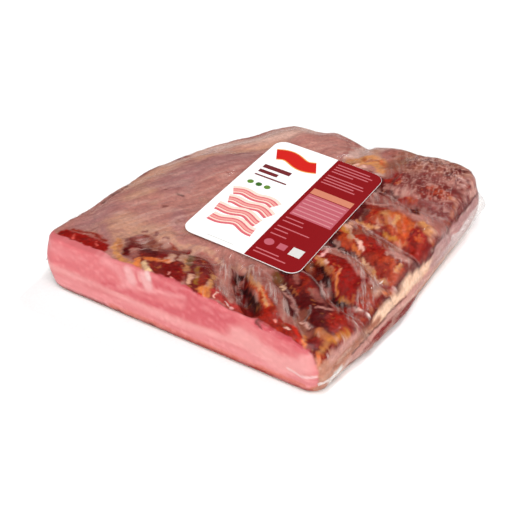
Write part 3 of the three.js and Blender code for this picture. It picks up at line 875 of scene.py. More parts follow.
    ("wine", [(109, -128), (115, -134)], 4, 1.6),
    ("light_orange", [(118, -130), (119, -142)], 1.7, 1),
    ("mustard", [(123, -101), (121.5, -112), (118.5, -122), (118.5, -132)], 1.9, 1),
    ("wine", [(124, -118), (124, -144)], 2.4, 1.2),
    # the golden diagonal and the dark hollow beside it
    ("dusk_rose", [(28, -84), (40, -90), (58, -98)], 8, 2.4),
    ("dark_olive", [(49, -78), (53, -82)], 3, 1.8),
    ("wine", [(24, -88), (32, -102), (44, -116), (54, -126)], 6.5, 2),
    ("ember", [(52, -107), (58, -112), (65, -117)], 4, 1.6),
    ("gold", [(25, -82.5), (34, -91.5), (42, -98), (50, -105.5), (58, -112), (66, -119)], 1.9, 1),
    ("ember", [(34, -95), (42, -101.5), (50, -108.5)], 1.1, 0.8),
    ("rust", [(53, -109), (57, -113)], 1.4, 0.9),
    # painted shade: dark lines along the deep groove's crease in the hollow
    ("black_red", [(21, -84), (24, -92), (32, -99), (39, -106), (47, -113), (54, -118.5), (59, -122)],
     1.7, 1),
    ("black_red", [(48, -114), (53, -118), (57, -121)], 2.6, 1.2),
    ("dusk_rose", [(25, -89), (31, -102)], 0.9, 0.8),
    ("rose_brown", [(29, -106), (38, -116), (42, -120)], 1.1, 0.9),
    ("beige", [(17, -79), (16, -86), (19, -97)], 0.9, 0.7),
    ("peach", [(20, -79), (26, -80), (31, -83)], 1, 0.8),
    # middle of the front
    ("maroon", [(-10, -108), (6, -116), (20, -128)], 15, 2.4),
    ("dusk_rose", [(-6, -88), (4, -90), (16, -97)], 6, 2.4),
    ("peach", [(0, -84), (8, -89), (14, -94), (20, -100)], 0.9, 0.8),
    ("wine", [(2, -101), (7, -110), (12, -118)], 5.5, 2),
    ("rose_brown", [(14, -97), (20, -108), (27, -117), (36, -128)], 4.2, 2),
    ("gold", [(15.5, -108), (19, -115)], 1.8, 1.2),
    ("gold", [(20, -120), (24, -128), (28, -136)], 2.2, 1.4),
    ("brick", [(12, -121), (19, -131)], 3, 1.6),
    ("olive", [(2, -111), (7, -121), (13, -130)], 1.7, 1.1),
    ("peach", [(4, -125), (8, -133)], 2, 1.2),
    ("pale_beige", [(-21, -93), (-14, -104), (-8, -112)], 2.2, 1.4),
    ("sand", [(-14, -100), (-8, -112), (-2, -122)], 2.2, 1.4),
    ("deep_red", [(-14, -124), (-6, -130), (-4, -136)], 6.5, 2),
    ("raspberry", [(32, -130), (42, -131), (52, -133)], 5, 2),
    # painted glints: pinkish-white specks of light on the film
    ("blush", [(32, -130), (33, -134)], 0.7, 0.5),
    ("white_fat_and_glint", [(41, -130.5), (43, -132)], 1.1, 0.6),
    ("pale_fat_and_glint", [(46, -132), (48, -134)], 0.8, 0.6),
    ("apricot", [(22, -133), (27, -139)], 4, 1.6),
    ("scarlet", [(22, -139), (25, -143)], 2.2, 1.2),
    # front left
    ("maroon", [(-56, -112), (-46, -120), (-34, -124), (-18, -128)], 12, 2),
    ("chestnut", [(-54, -104), (-40, -106), (-20, -104)], 8, 3),
    ("light_brown", [(-60, -104), (-50, -108)], 3, 2),
    ("light_brown", [(-52, -106), (-44, -116)], 1.8, 1.2),
    ("umber", [(-45, -102), (-38, -112)], 1.6, 1.2),
    ("dusk_rose", [(-50, -122), (-44, -129)], 3.4, 1.6),
    ("dark_wine", [(-59, -118), (-53, -129)], 3, 1.6),
    ("dark_wine", [(-42, -116), (-32, -120)], 3.4, 1.8),
    ("wine", [(-23, -93), (-29, -102), (-25, -114)], 5, 1.6),
    ("wine", [(-30, -98), (-38, -104)], 3, 1.4),
    ("wine", [(-16, -122), (-8, -130), (-3, -136)], 6, 1.6),
    ("dark_olive", [(-11, -100), (-6, -112)], 2.6, 1.4),
    ("beige", [(-18, -90), (-16, -102), (-13, -112)], 2.2, 1.3),
    ("beige", [(-42, -91), (-30, -92), (-22, -88), (-14, -86), (-4, -83)], 2.2, 1.4),
    ("russet", [(-36, -95), (-28, -96)], 1.2, 0.9),
    ("pale_beige", [(-22, -111), (-18, -118)], 2.6, 1.6),
    ("beige", [(-82, -104), (-72, -112), (-66, -118)], 6, 4),
    ("brown", [(-66, -110), (-60, -116)], 1.8, 1.3),
    ("gold", [(-71, -114), (-67, -124), (-60, -131), (-52, -136), (-42, -138), (-34, -137)], 1.8, 1.1),
    ("tan", [(-66, -118), (-60, -128)], 2, 1.3),
    ("light_orange", [(-32, -128), (-24, -123), (-18, -120)], 2.2, 1.3),
    ("apricot", [(-38, -133), (-32, -138)], 2.4, 1.4),
    ("butter", [(-30, -133), (-25, -138), (-20, -140)], 2.4, 1.4),
    ("brick", [(-112, -120), (-92, -119), (-78, -122)], 1.8, 1.4),
    ("deep_red", [(-113, -128), (-92, -128), (-74, -130)], 6, 1.4),
    # painted highlights: thin coral glints on the deep red
    ("coral", [(-106, -127), (-102, -131)], 0.9, 0.7),
    ("coral", [(-84, -126), (-80, -129)], 0.8, 0.7),
    # painted glints: specks of light on the red lobe
    ("pink", [(-9, -132), (-9, -134)], 0.9, 0.6),
    ("pink", [(-5, -135.5), (-4, -136.5)], 0.9, 0.6),
    # dark spots and the dark rim at the left
    ("dark_cocoa", [(-118.5, -76), (-119, -40)], 1.6, 1.4),
    ("cocoa", [(-119.5, -28), (-120, -2)], 1.8, 1.4),
    ("chestnut", [(-118, 22), (-116, 36)], 2, 1.6),
    ("dark_cocoa", [(-69, -40.5), (-65, -39)], 1.6, 1.1),
    ("brown", [(-82.5, -40), (-81, -40)], 1.2, 1),
    ("brown", [(-70, -59), (-69, -58)], 1.9, 1.2),
    ("cocoa", [(-47, -68), (-46, -72)], 2, 1.6),
    ("cocoa", [(-63, -96), (-60, -93)], 1.3, 1),
    ("cocoa", [(-54, -91), (-53, -94)], 1.2, 1),
    ("brown", [(-43, -94), (-40, -93)], 1.4, 1),
    ("light_brown", [(-54, 8), (-52, 9)], 1.2, 1),
]

# Painted highlights: small glints of the film along the right rim, laid into the meat's colour: x, y.
GLINTS = [
    (123, -136), (123, -129), (123.5, -107), (122, -88), (126, -81), (125.5, -73), (126.5, -36), (116, -36)
]
GLINT_HALF_WIDTH, GLINT_LENGTH = 0.5, 1

# Cut face, with x and height: pink lean, pale fat.
FACE_STROKES = [
    ("soft_lean", [(-126, 38), (-60, 38), (0, 40), (60, 40), (126, 36)], 16, 3),
    ("pale_lean", [(-120, 9), (0, 9), (118, 8)], 7, 3),
    ("fat", [(-128, 20.5), (-60, 20), (0, 17), (60, 21), (100, 17)], 3, 2.5),
    ("lean", [(-64, 26), (-20, 25), (18, 27)], 3.4, 2),
    ("lean", [(-22, 38), (0, 45), (16, 46)], 7, 3),
    ("lean", [(16, 38), (34, 35), (50, 35)], 8.5, 2.5),
    ("lean", [(20, 26), (30, 27), (44, 29)], 3, 1.6),
    ("pale_lean", [(-50, 28), (-32, 33), (-12, 38), (12, 42)], 1.6, 1.4),
    ("pale_lean", [(-62, 47), (-50, 44), (-42, 34)], 4.4, 3),
    ("fat", [(58, 27), (74, 25), (92, 18), (112, 26)], 8, 4),
    ("soft_lean", [(80, 33), (104, 32)], 4, 3),
    ("deep_lean", [(74, 45), (92, 43), (112, 38)], 3.6, 1.8),
    ("deep_lean", [(-112, 54), (-70, 55), (-44, 55), (0, 55), (50, 50)], 3.4, 2),
    ("deep_lean", [(78, 48), (112, 42)], 2.6, 1.6),
    ("soft_lean", [(48, 49), (58, 47)], 4, 2.5),
    ("cocoa", [(68, 49), (72, 44.5), (77, 42)], 0.7, 0.7),
    ("pale_fat_and_glint", [(-39, 46), (-36, 39)], 4.4, 2.4),
    ("pale_fat_and_glint", [(-25, 46), (-21, 40)], 4.6, 2.4),
    ("white_fat_and_glint", [(-22, 50), (-20, 47)], 2.2, 1.4),
    ("fat", [(-29, 46), (-28, 41)], 1.2, 1),
    # painted highlight: a white line of reflected light on the fat at the right
    ("white_fat_and_glint", [(99, 16.5), (110, 15), (122, 17.5)], 0.9, 0.8),
    ("red", [(121, 47), (124.5, 37), (125, 28)], 2.6, 1.4),
    ("light_orange", [(112, 45), (116, 49)], 2.2, 1.4),
    ("light_orange", [(116, 2), (124, 6), (129, 13)], 3, 2.2),
    ("salmon", [(-60, 5.2), (20, 5.4), (112, 6.6)], 1.8, 1.4),
    ("maroon", [(-122, 2.4), (-40, 2.2), (30, 2.2), (120, 2.2)], 1.7, 0.9),
    ("red", [(0, 2.2), (116, 2.6)], 1.9, 0.9),
]

# Right wall, with y and height.
SIDE_STROKES = [
    ("cream", [(-84, 29), (-40, 29), (16, 28)], 9, 5),
    ("rose", [(-136, 36), (-110, 33), (-88, 30)], 5, 4),
    ("umber", [(-134, 26), (-100, 26), (-70, 25)], 3.4, 2.4),
    ("rose", [(-116, 16), (-40, 17), (20, 14)], 4, 1.6),
    ("dark_brown", [(-110, 20.5), (-72, 20.5), (-50, 21), (-26, 19)], 1, 0.8),
    ("wine", [(-100, 4), (-60, 5), (-20, 4)], 5, 1.2),
    ("wine", [(-108, 8), (-84, 11), (-56, 11.5), (-34, 9.5), (-10, 6)], 3.6, 0.9),
    ("mauve", [(32, 30), (66, 28), (104, 28), (140, 26)], 14, 8),
    ("dark_cocoa", [(49, 38), (53, 34)], 2.6, 1.8),
    ("dark_cocoa", [(66, 40), (71, 35)], 1.8, 1.4),
    ("mauve", [(20, 20), (80, 15), (120, 14)], 3, 2.5),
    ("gold", [(-74, 39), (-46, 38)], 1.6, 1.2),
    ("frost", [(-142, 8), (-134, 16), (-126, 18)], 3, 2.5),
]

# Left and back walls, with a coordinate round them and the height.
REST_STROKES = [
    ("cream_rose", [(-300, 24), (-60, 25), (100, 23), (300, 24)], 5, 4),
    ("rose", [(-300, 11), (0, 12), (300, 11)], 4, 3),
    ("rose_brown", [(-300, 33), (0, 32), (300, 33)], 3, 3),
    ("chestnut", [(-300, 2), (300, 2)], 2.6, 1.6),
]

# Folds that stand up in the film: points in plan, height, half width.
FOLDS = [
    ([(57, 67.5), (76, 64), (90, 58.5), (99, 58), (110, 62), (126, 67)], 0.8, 1.1),
    ([(59, 14), (75, 13), (90, 9), (105, 5), (120, 3), (129, 1)], 0.9, 1.3),
    ([(64, -36), (63, -30), (67, -26.5), (80, -25), (90, -28), (98, -33), (105, -38), (112, -41), (121, -42)],
     1.0, 1.2),
    ([(61, -66), (72, -67), (84, -72), (95, -78.5), (108, -81), (125, -81)], 0.9, 1.1),
    ([(58, -85), (70, -92), (80, -100), (86, -109)], 0.8, 1.0),
    ([(90, -98), (95, -106), (94, -113), (104, -118)], 0.8, 1.0),
    ([(20, -80), (30, -81), (42, -83), (52, -87)], 0.7, 1.3),
    ([(0, -84), (10, -91), (18, -99)], 0.6, 1.1),
    ([(16, -82), (17, -92), (20, -101)], 0.6, 1.0),
    ([(78, 61), (80, 50), (72, 42), (61, 40)], 0.6, 1.2),
    ([(104, 118), (112, 106), (114, 92), (110, 84)], 0.6, 1.0),
    ([(84, 98), (92, 104), (100, 106)], 0.5, 1.0),
    ([(116, 128), (124, 108), (128, 88), (126, 70)], 0.6, 1.1),
    ([(44, 110), (56, 116), (62, 124)], 0.5, 1.2),
    ([(128, -98), (129, -118), (128, -136)], 0.5, 0.9),
    ([(-66, -122), (-56, -132), (-44, -137)], 0.4, 1.0),
]
# Where the stretched film is streaked: strength, path in plan, half width, softness.
STREAKED = [
    (0.5, [(62, 8), (84, 4), (106, -2)], 6, 4),
    (0.9, [(66, -27), (84, -29), (98, -37), (108, -46)], 6, 3),
    (0.85, [(114, -40), (118, -68)], 6, 3),
    (0.45, [(64, 56), (92, 52), (122, 50)], 11, 5),
    (0.55, [(112, -2), (122, -12)], 6, 3),
    (0.8, [(82, -64), (94, -80)], 4, 2),
    (0.6, [(104, -80), (122, -90)], 7, 4),
    (0.8, [(28, -86), (46, -94), (62, -104), (84, -114)], 6, 3),
    (0.6, [(24, -92), (36, -112), (46, -124)], 5, 3),
    (0.8, [(14, -96), (24, -112), (34, -126)], 5, 3),
    (0.6, [(-4, -88), (14, -96)], 6, 4),
    (0.7, [(-54, -106), (-42, -118)], 5, 4),
    (0.3, [(62, 96), (64, 124), (84, 118)], 10, 6),
]


def fold_height(x, y):
    total = np.zeros(np.shape(x))
    for path, height, width in FOLDS:
        total = np.maximum(total, height * nearness(path, width, x, y))
    return total


def turned(points, degrees):
    """Points turned about the vertical, so that noise can run along a direction."""
    x, y, z = points.T
    return np.stack([*rotate(x, y, -degrees), z], 1)


def stretched_noise(points, leans_right, kinds, offset):
    """Noise drawn out along the film's stretch; kinds are scale and octaves where it leans left and right."""
    left, right = (
        layered_noise(turned(points, turn), *kind, offset) for turn, kind in zip(STRETCH_TURNS, kinds)
    )
    return mix(left, right, leans_right)


def wall_place(points):
    """Y and height of the right wall's points on its upright plane."""
    x, y, z = points.T
    past = x - WALL_PLANE_X
    return y + WALL_LEAN_BACK * past, z - WALL_LEAN_UP * past


def region_masks(points, normals, below_rim):
    """How much each point belongs to the cut face, the underside, the right wall, the rest and the meat."""
    x, y, z = points.T
    nx, ny, nz = normals.T
    rough = layered_noise(points, 5.0, 3, 3.3)
    face = smooth(-0.8, 0.8, np.interp(x, CUT_EDGE_X, CUT_EDGE_Y) + 1.6 * rough - y)
    face = face * smooth(0.1, 0.3, -ny - np.abs(nx) * 0.55 + 0.4 * (z > 30)) * smooth(-0.9, -0.6, nz)
    under = smooth(0.55, 0.85, -nz) * (1 - face)
    wall_y, wall_z = wall_place(points)
    faces_right = smooth(100, 118, x) * (1 - smooth(0.45, 0.8, ny))
    over = mix(30 - z, np.interp(wall_y, SIDE_EDGE_Y, SIDE_EDGE_Z) - wall_z, faces_right)
    over = over + 2.5 * layered_noise(points, 9.0, 3, 23.3)
    meat = (1 - face) * (1 - under)
    wall = smooth(-0.8, 0.8, over) * meat * below_rim
    right = wall * faces_right
    return {"face": face, "under": under, "right": right, "rest": wall - right, "meat": meat}


def flow(x, y):
    """1 where the stretched film's streaks lean to the right, in front and over the ribs; 0 elsewhere."""
    return np.maximum(smooth(-6, 10, x + 0.3 * (y + 80)) * smooth(-70, -80, y), smooth(46, 60, x))


def redness(colour):
    return smooth(0.75, 0.93, 1 - colour[:, 1] / colour[:, 0])


def paint_top(points):
    # The top's base colour is the film's haze with a soft painted reflection of the light in it.
    paint = Paint(points + (*MEAT_LEAN, 0), VEIL, 2.6, 9.0, 0.0)
    x, y = paint.x, paint.y
    paint.blend(smooth(-2, 2, x - 56) * smooth(-2, 2, 67 - y), RIB_RED)
    paint.lay(TOP_STROKES)
    red = redness(paint.colour)
    pale = 1 - red
    leans_right = flow(x, y)
    dark = stretched_noise(points, leans_right, (((9, 4, 7), 4), ((9, 3, 7), 4)), 4.4)
    paint.blend(0.45 * red * smooth(0.15, 0.5, dark), DARK_SHADE)
    warm = smooth(0.25, 0.5, layered_noise(points, 7, 4, 14.4))
    paint.blend(0.25 * red * warm, WARM_SHADE)
    amber = smooth(0.4, 0.5, layered_noise(points, 4, 3, 24.4)) * smooth(0, 30, x + 70)
    paint.blend(0.3 * red * amber, AMBER_SHADE)
    streak = stretched_noise(points, leans_right, (((16, 3.2, 8), 4), ((14, 3.4, 8), 3)), 34.4)
    paint.blend(0.35 * pale * smooth(0.1, 0.5, streak), PALE_STREAK)
    paint.blend(0.45 * pale * smooth(0.1, 0.5, -streak), mix(BROWN_SHADE, RED_SHADE, leans_right[:, None]))
    shrunk = smooth(58, 72, x) * smooth(68, 72, y) + 0.5 * smooth(36, 44, x) * smooth(104, 110, y)
    across = turned(points, -70)
    dark_red = smooth(0.0, 0.4, layered_noise(across, (6, 2.6, 5), 3, 44.4))
    paint.blend(0.65 * shrunk * dark_red, SHRUNK_RED)
    # painted highlights: pale creases of the crumpled film over the back right
    paint.blend(0.55 * shrunk * ridges(across, (7, 3.6, 6), 2, 54.0, 16.0), SHRUNK_CREASE_AND_SHEEN)
    olive = smooth(0.35, 0.6, layered_noise(points, 14.0, 4, 54.4))
    paint.blend(0.25 * pale * olive, OLIVE_SHADE)
    paint.scale(MEAT_SCALE)
    # painted highlights: the film's glints along the right rim
    for glint_x, glint_y in GLINTS:
        path = [(glint_x, glint_y), (glint_x, glint_y - GLINT_LENGTH)]
        paint.lay([("highlight", path, GLINT_HALF_WIDTH, GLINT_HALF_WIDTH)])
    return paint


def paint_wall(points, strokes, base):
    """Colours by a coordinate along the wall and the height."""
    paint = Paint(points, base, 1.0, 8.0, 60.0)
    paint.lay(strokes)
    streak = layered_noise(points, (30, 3.0, 8), 4, 71.0)
    paint.blend(0.3 * smooth(0.1, 0.5, streak), WALL_PALE)
    paint.blend(0.3 * smooth(0.1, 0.5, -streak), WALL_DARK)
    return paint.colour


def paint_face(points):
    flat = np.stack([points[:, 0], points[:, 2], np.zeros(len(points))], 1)
    paint = Paint(flat, FACE_BASE, 0.9, 8.0, 80.0)
    paint.lay(FACE_STROKES)
    grain = layered_noise(flat, (34, 5, 5), 5, 91.0)
    paint.blend(0.22 * smooth(0.05, 0.5, grain), FACE_PALE)
    paint.blend(0.25 * smooth(0.05, 0.5, -grain), FACE_DARK)
    paint.scale(FACE_SCALE)
    fibre = layered_noise(flat, (5, 1.6, 2), 3, 95.0)
    paint.blend(0.16 * smooth(0.0, 0.6, fibre), FACE_FIBRE)
    return paint.colour


def paint_slab(points, regions):
    """The slab's colours, and how strongly the material's fine grain mottles them."""
    paint = paint_top(points)
    x, y, z = points.T
    along_right = np.stack([*wall_place(points), x], 1)
    around = np.stack([x + y, z, x - y], 1)
    rim = (RIM_COLOUR, list(zip(SIDE_EDGE_Y, SIDE_EDGE_Z))[RIM_START:], RIM_HALF_WIDTH, 1)
    walls = {
        "rest": paint_wall(around, REST_STROKES, WALL_BASES["rest"]),
        "right": paint_wall(along_right, SIDE_STROKES + [rim], WALL_BASES["right"]),
        "under": paint_wall(points, [], WALL_BASES["under"]),
        "face": paint_face(points),
    }
    for key, colour in walls.items():
        paint.colour = mix(paint.colour, colour, regions[key][:, None])
    mottle = (0.4 + 0.35 * redness(paint.colour)) * (1 - 0.75 * regions["face"])
    return paint.colour, mottle


# The rind side stands out along part of the right wall: y along it, height, reach up and down, how far.
FOOT_Y, FOOT_Z, FOOT_REACH, FOOT_OUT = (-104, -86, -34, 0), 8, 6, 3.2


def foot_out(points):
    x, y, z = points.T
    along = np.interp(y, FOOT_Y, (0, 1, 1, 0)) * smooth(110, 122, x)
    return FOOT_OUT * along * np.exp(-(((z - FOOT_Z) / FOOT_REACH) ** 2))


def push_out(points, normals, shift, lowest):
    """Points moved out along their normals, and at the right wall's foot, but no lower than lowest."""
    moved = points + normals * shift[:, None]
    moved[:, 0] += foot_out(points)
    moved[:, 2] = np.maximum(moved[:, 2], lowest)
    return moved


def make_slab():
    points, normals, faces, below_rim = pack_surface(SLAB_CELLS, SLAB_STEPS)
    regions = region_masks(points, normals, below_rim)
    colour, mottle = paint_slab(points, regions)
    x, y, _ = points.T
    grooves = np.zeros(len(points))
    for path, depth, width in GROOVES:
        grooves += GROOVE_EXTRA * depth * nearness(path, width * GROOVE_NARROWING, x, y)
    crag = CRAG_DEPTH * smooth(-0.1, 0.7, layered_noise(points, 8.0, 4, 2.2))
    shift = regions["meat"] * (0.3 * fold_height(x, y) - grooves - crag) - SLAB_GAP
    points = push_out(points, normals, shift, SLAB_FOOT)
    return make_mesh("bacon_slab", points, faces, {"tint": colour, "mottle": mottle}, meat_material())


# Film bag

FILM_CELLS, FILM_STEPS = (230, 250), (5, 22, 4, 4)
FILM_GAP = 0.5
CREASE_HEIGHT, PORE_HEIGHT = 0.32, 0.14
# Colour of the haze on the bag and on the fins, and the most that haze hides.
HAZE, FIN_HAZE, VEIL_MOST = (222, 190, 182), (238, 232, 228), 0.9
# How much gloss the crumpled right wall loses, and how much the fins keep.
WALL_DULL, FIN_GLOSS = 0.75, 0.25
# How milky the right fin is, from front to back.
FIN_VEIL_Y, FIN_VEIL = (-140, -128, -112, 20, 60, 140), (0.45, 0.3, 0.0, 0.0, 0.22, 0.3)
LEFT_FIN_VEIL = 0.3
FIN_STEPS = 160
# How much a fin's reach swells and shrinks along it, and how often.
FIN_SCALLOP, FIN_SCALLOPS = 0.18, 2.6


def fin_strip(fin, first_id):
    """A thin rippled strip with square edges, from inside the wall to the fin's free edge."""
    side, start, end, reach, heights, ripple, waves, taper = fin
    share = np.linspace(0, 1, FIN_STEPS + 1)
    t = mix(start, end, share)
    base = sides[side](np.clip(t, 0, 1))
    normal = right_of(np.gradient(base, axis=0))
    full = smooth(0, taper, share) * (1 - smooth(1 - taper, 1, share))
    scallop = 1 + FIN_SCALLOP * np.sin(share * FIN_SCALLOPS * 2 * math.pi + 1)
    out = edge_value(side, t, "bulge") + 1 + mix(*reach, share) * scallop * full
    height = mix(*heights, share)
    tip_height = height + ripple * np.sin(share * waves * 2 * math.pi)
    sections = []
    for inset, level in ((-FIN_ROOT, height), (out, tip_height)):
        xy = base + normal * np.reshape(inset + np.zeros(len(share)), (-1, 1))
        for lift in (-FIN_THICKNESS / 2, FIN_THICKNESS / 2):
            sections.append(np.column_stack([xy, level + lift]))
    order = [0, 2, 3, 1]
    points = np.stack([sections[k] for k in order], 1).reshape(-1, 3)
    quads = []
    for k in range(FIN_STEPS):
        for c in range(4):
            d = (c + 1) % 4
            ring, following = first_id + 4 * k, first_id + 4 * (k + 1)
            quads.append([ring + c, following + c, following + d, ring + d])
    quads.append([first_id + c for c in range(4)])
    quads.append([first_id + 4 * FIN_STEPS + c for c in (3, 2, 1, 0)])
    return points, quads


def make_film():
    points, normals, faces, below_rim = pack_surface(FILM_CELLS, FILM_STEPS)
    x, y, z = points.T
    meat = region_masks(points, normals, below_rim)["meat"]
    folds = fold_height(x, y) * smooth(0.0, 0.5, normals[:, 2])
    right_wall = smooth(124, 130, x) * smooth(2, 14, z)
    wrinkled = meat * (0.35 + 0.65 * smooth(50, 70, x) * smooth(60, 72, y))
    wrinkled = wrinkled * (1 - 0.8 * under_label(x, y)) * (1 - 0.85 * right_wall)
    creases = wrinkled * ridges(turned(points, 50), (13.0, 7.0, 9.0), 3, 8.1, 22.0)
    pores = meat * ridges(points, 6.0, 2, 18.1, 9.0)
    hazy = (1 - flow(x, y)) * smooth(-124, -106, y)
    veil = mix(0.08, 0.22, hazy) * creases + 0.22 * smooth(0.3, 0.8, folds)
    veil = veil + 0.08 * right_wall * smooth(-0.3, 0.6, layered_noise(points, (30, 20, 5), 3, 77.0))
    streak = 0.2 * hazy
    for strength, path, half_width, soft in STREAKED:
        streak = np.maximum(streak, strength * band(path, half_width, soft, x, y))
    lift = folds + CREASE_HEIGHT * creases + PORE_HEIGHT * pores
    points = push_out(points, normals, lift - FILM_GAP, 0.0)
    bag_count = len(points)
    for fin in FINS:
        fin_points, fin_quads = fin_strip(fin, len(points))
        faces += fin_quads
        points = np.concatenate([points, fin_points])
    fins = points[bag_count:]
    fin_veil = np.where(fins[:, 0] > 0, np.interp(fins[:, 1], FIN_VEIL_Y, FIN_VEIL), LEFT_FIN_VEIL)
    tint = [np.tile(linear(rgb), (count, 1)) for rgb, count in ((HAZE, bag_count), (FIN_HAZE, len(fins)))]
    attributes = {
        "veil": np.clip(np.concatenate([veil, fin_veil]), 0, VEIL_MOST),
        "streak": np.concatenate([streak * meat, np.zeros(len(fins))]),
        "leans_right": flow(points[:, 0], points[:, 1]),
        "veil_tint": np.concatenate(tint),
        "gloss": np.concatenate([1 - WALL_DULL * right_wall, np.full(len(fins), FIN_GLOSS)]),
    }
    return make_mesh("film_bag", points, faces, attributes, film_material())


# Label card and its print

CARD_CELL = 2.5
PRINT_LIFT, PRINT_STEP, PRINT_SINK = 0.05, 0.05, 0.12
PRINT_CELL = 4.0
DOT_GRID = np.linspace(-1, 1, 13)
CARD_WHITE = (250, 250, 250)

INK = {
    "deep_red": (134, 9, 16),
    "bright_red": (206, 32, 26),
    "amber": (232, 164, 84),
    "text_brown": (112, 40, 44),
    "rose": (186, 92, 104),
    "light_rose": (206, 132, 138),
    "tan": (206, 128, 102),
    "soft_line": (196, 104, 110),
    "card_grey": (214, 212, 208),
    "lean": (214, 104, 112),
    "fat": (244, 214, 200),
    "blush": (232, 158, 150),
    "green": (96, 134, 52),
    "deep_green": (62, 104, 40),
}


def label_point(u, v, lift):
    """The point of the label at u across and v along, with the outline's corners rounded."""
    u, v = np.asarray(u, float), np.asarray(v, float)
    corner_u = np.maximum(0, np.abs(u) - (LABEL_WIDTH / 2 - LABEL_CORNER))
    corner_v = np.maximum(0, np.abs(v) - (LABEL_LENGTH / 2 - LABEL_CORNER))
    at_corner = (corner_u > 0) & (corner_v > 0)
    shrink = np.maximum(corner_u, corner_v) / np.maximum(np.hypot(corner_u, corner_v), 1e-9)
    shrink = np.where(at_corner, shrink, 1)
    u = u - np.sign(u) * corner_u * (1 - shrink)
    v = v - np.sign(v) * corner_v * (1 - shrink)
    x, y = rotate(u, v, LABEL_TURN)
    x, y = x + LABEL_X, y + LABEL_Y
    return np.stack([x, y, label_height(x, y) + lift], -1)


class Patches:
    """Collects closed thin patches that lie on the label, each a grid with its own colour."""

    def __init__(self):
        self.points, self.faces, self.colours = [], [], []

    def grid(self, u, v, low, high, colour):
        """A patch from arrays of label coordinates, between two heights above the label's underside."""
        first, size = len(self.points), u.size
        for lift in (low, high):
            self.points += label_point(u, v, lift).reshape(-1, 3).tolist()
        quads, rim = grid_faces(first + np.arange(size).reshape(u.shape))
        below = quads[:, (0, 3, 2, 1)]
        above = below[:, ::-1] + size
        onward = np.roll(rim, -1)
        skirt = np.stack([rim, onward, onward + size, rim + size], -1)
        self.faces += below.tolist() + above.tolist() + skirt.tolist()
        self.colours += [linear(colour).tolist()] * (2 * size)

    def printed(self, u, v, level, ink):
        top = LABEL_THICKNESS
        self.grid(u, v, top - PRINT_SINK, top + PRINT_LIFT + level * PRINT_STEP, INK[ink])

    def bar(self, u0, u1, v0, v1, level, ink):
        columns = max(2, int((u1 - u0) / PRINT_CELL) + 2)
        rows = max(2, int((v1 - v0) / PRINT_CELL) + 2)
        u, v = np.meshgrid(np.linspace(u0, u1, columns), np.linspace(v0, v1, rows))
        self.printed(u, v, level, ink)

    def dot(self, u0, v0, radius, level, ink):
        """A square grid pressed into a round outline."""
        p, q = np.meshgrid(DOT_GRID, DOT_GRID)
        u, v = p * np.sqrt(1 - q * q / 2), q * np.sqrt(1 - p * p / 2)
        self.printed(u0 + radius * u, v0 + radius * v, level, ink)

    def ribbon(self, path, offset, half_width, level, ink):
        """A band along a path of label coordinates, shifted to its left by offset."""
        right = right_of(np.gradient(path, axis=0))
        lines = np.stack([path - right * (offset + k * half_width) for k in (1, 0, -1)])
        self.printed(lines[..., 0], lines[..., 1], level, ink)

    def mesh(self, name, material):
        return make_mesh(name, np.array(self.points), self.faces, {"ink": self.colours}, material, False)


# The print's layout, u across from the label's middle and v along it. The dark field lies right of its start.
PRINT_MARGIN, FIELD_START, FIELD_LINES_START = 0.15, 6.5, 10
# A wavy banner: start and length along u, place and wave along v. Its bands: offset, half width, level, ink.
BANNER_U, BANNER_LENGTH, BANNER_V, BANNER_WAVE = -42, 39, 55, 3.2
BANNER_BANDS = ((0, 8.6, 0, "amber"), (0, 7.4, 1, "bright_red"))
# Bars on the white field: from and to u, from and to v.
HEADING_BARS = ((-42, -16, 31, 36.5), (-42, -24, 23.5, 28), (-42, -12, 18, 20))
FOOT_BAR = (-30, -6, -73, -72)
# Four wavy rashers of bacon on the white field: start and length along u, and v of each.
RASHERS_U, RASHERS_LENGTH, RASHERS_V = -44, 40, (-12, -25, -38, -51)
# How far every other rasher is moved right, how far it bows, and its waves' height, number and shift.
RASHERS_STAGGER, RASHERS_BOW, RASHERS_HEIGHT, RASHERS_COUNT, RASHERS_SHIFT = 3, 3.0, 1.6, 1.5, 0.9
# The bands of lean and fat along each rasher: offset, half width, level, ink.
RASHER_BANDS = ((0, 5.6, 0, "lean"), (4.4, 1.5, 1, "fat"), (0.3, 1.1, 1, "blush"), (-2.4, 0.7, 1, "fat"))
# A row of dots: first u, step, v, radius, inks.
DOTS_U, DOTS_STEP, DOTS_V, DOTS_RADIUS, DOT_INKS = -39, 8, 7, 2.8, ("green", "deep_green", "green")
# On the dark field, a table of plain rows: where it ends, v of its head and body, and its rows.
TABLE_END, TABLE_HEAD_V, TABLE_BODY_V = 47, (20, 28), (-14, 19)
TABLE_ROW_U, TABLE_ROW_THICKNESS, TABLE_ROWS_V = (11.5, 45.5), 1.3, (15, 9.5, 4, -1.5, -7, -12)
# Plain lines above and below it: v and end of each. Last, a dot and two squares.
UPPER_LINES = ((70, 40), (66, 44), (62, 42), (58, 30), (51, 43), (47, 45), (43, 38), (39, 41))
LOWER_LINES = ((-20, 26), (-25, 28), (-33, 38), (-38, 22), (-44, 24), (-66, 30), (-70, 38))
UPPER_THICKNESS, LOWER_THICKNESS = 1.4, 1.2
MARK_DOT, MARK_SQUARES = (15, -54, 4), ((23, 30, -57.5, -50.5, "rose"), (34, 44, -59, -49, "card_grey"))


def make_card():
    card = Patches()
    across, along = (
        np.linspace(-size / 2, size / 2, int(size / CARD_CELL) + 1) for size in (LABEL_WIDTH, LABEL_LENGTH)
    )
    card.grid(*np.meshgrid(across, along), 0.0, LABEL_THICKNESS, CARD_WHITE)
    return card.mesh("label_card", plain_material("label_card", CARD_WHITE, 0.3))


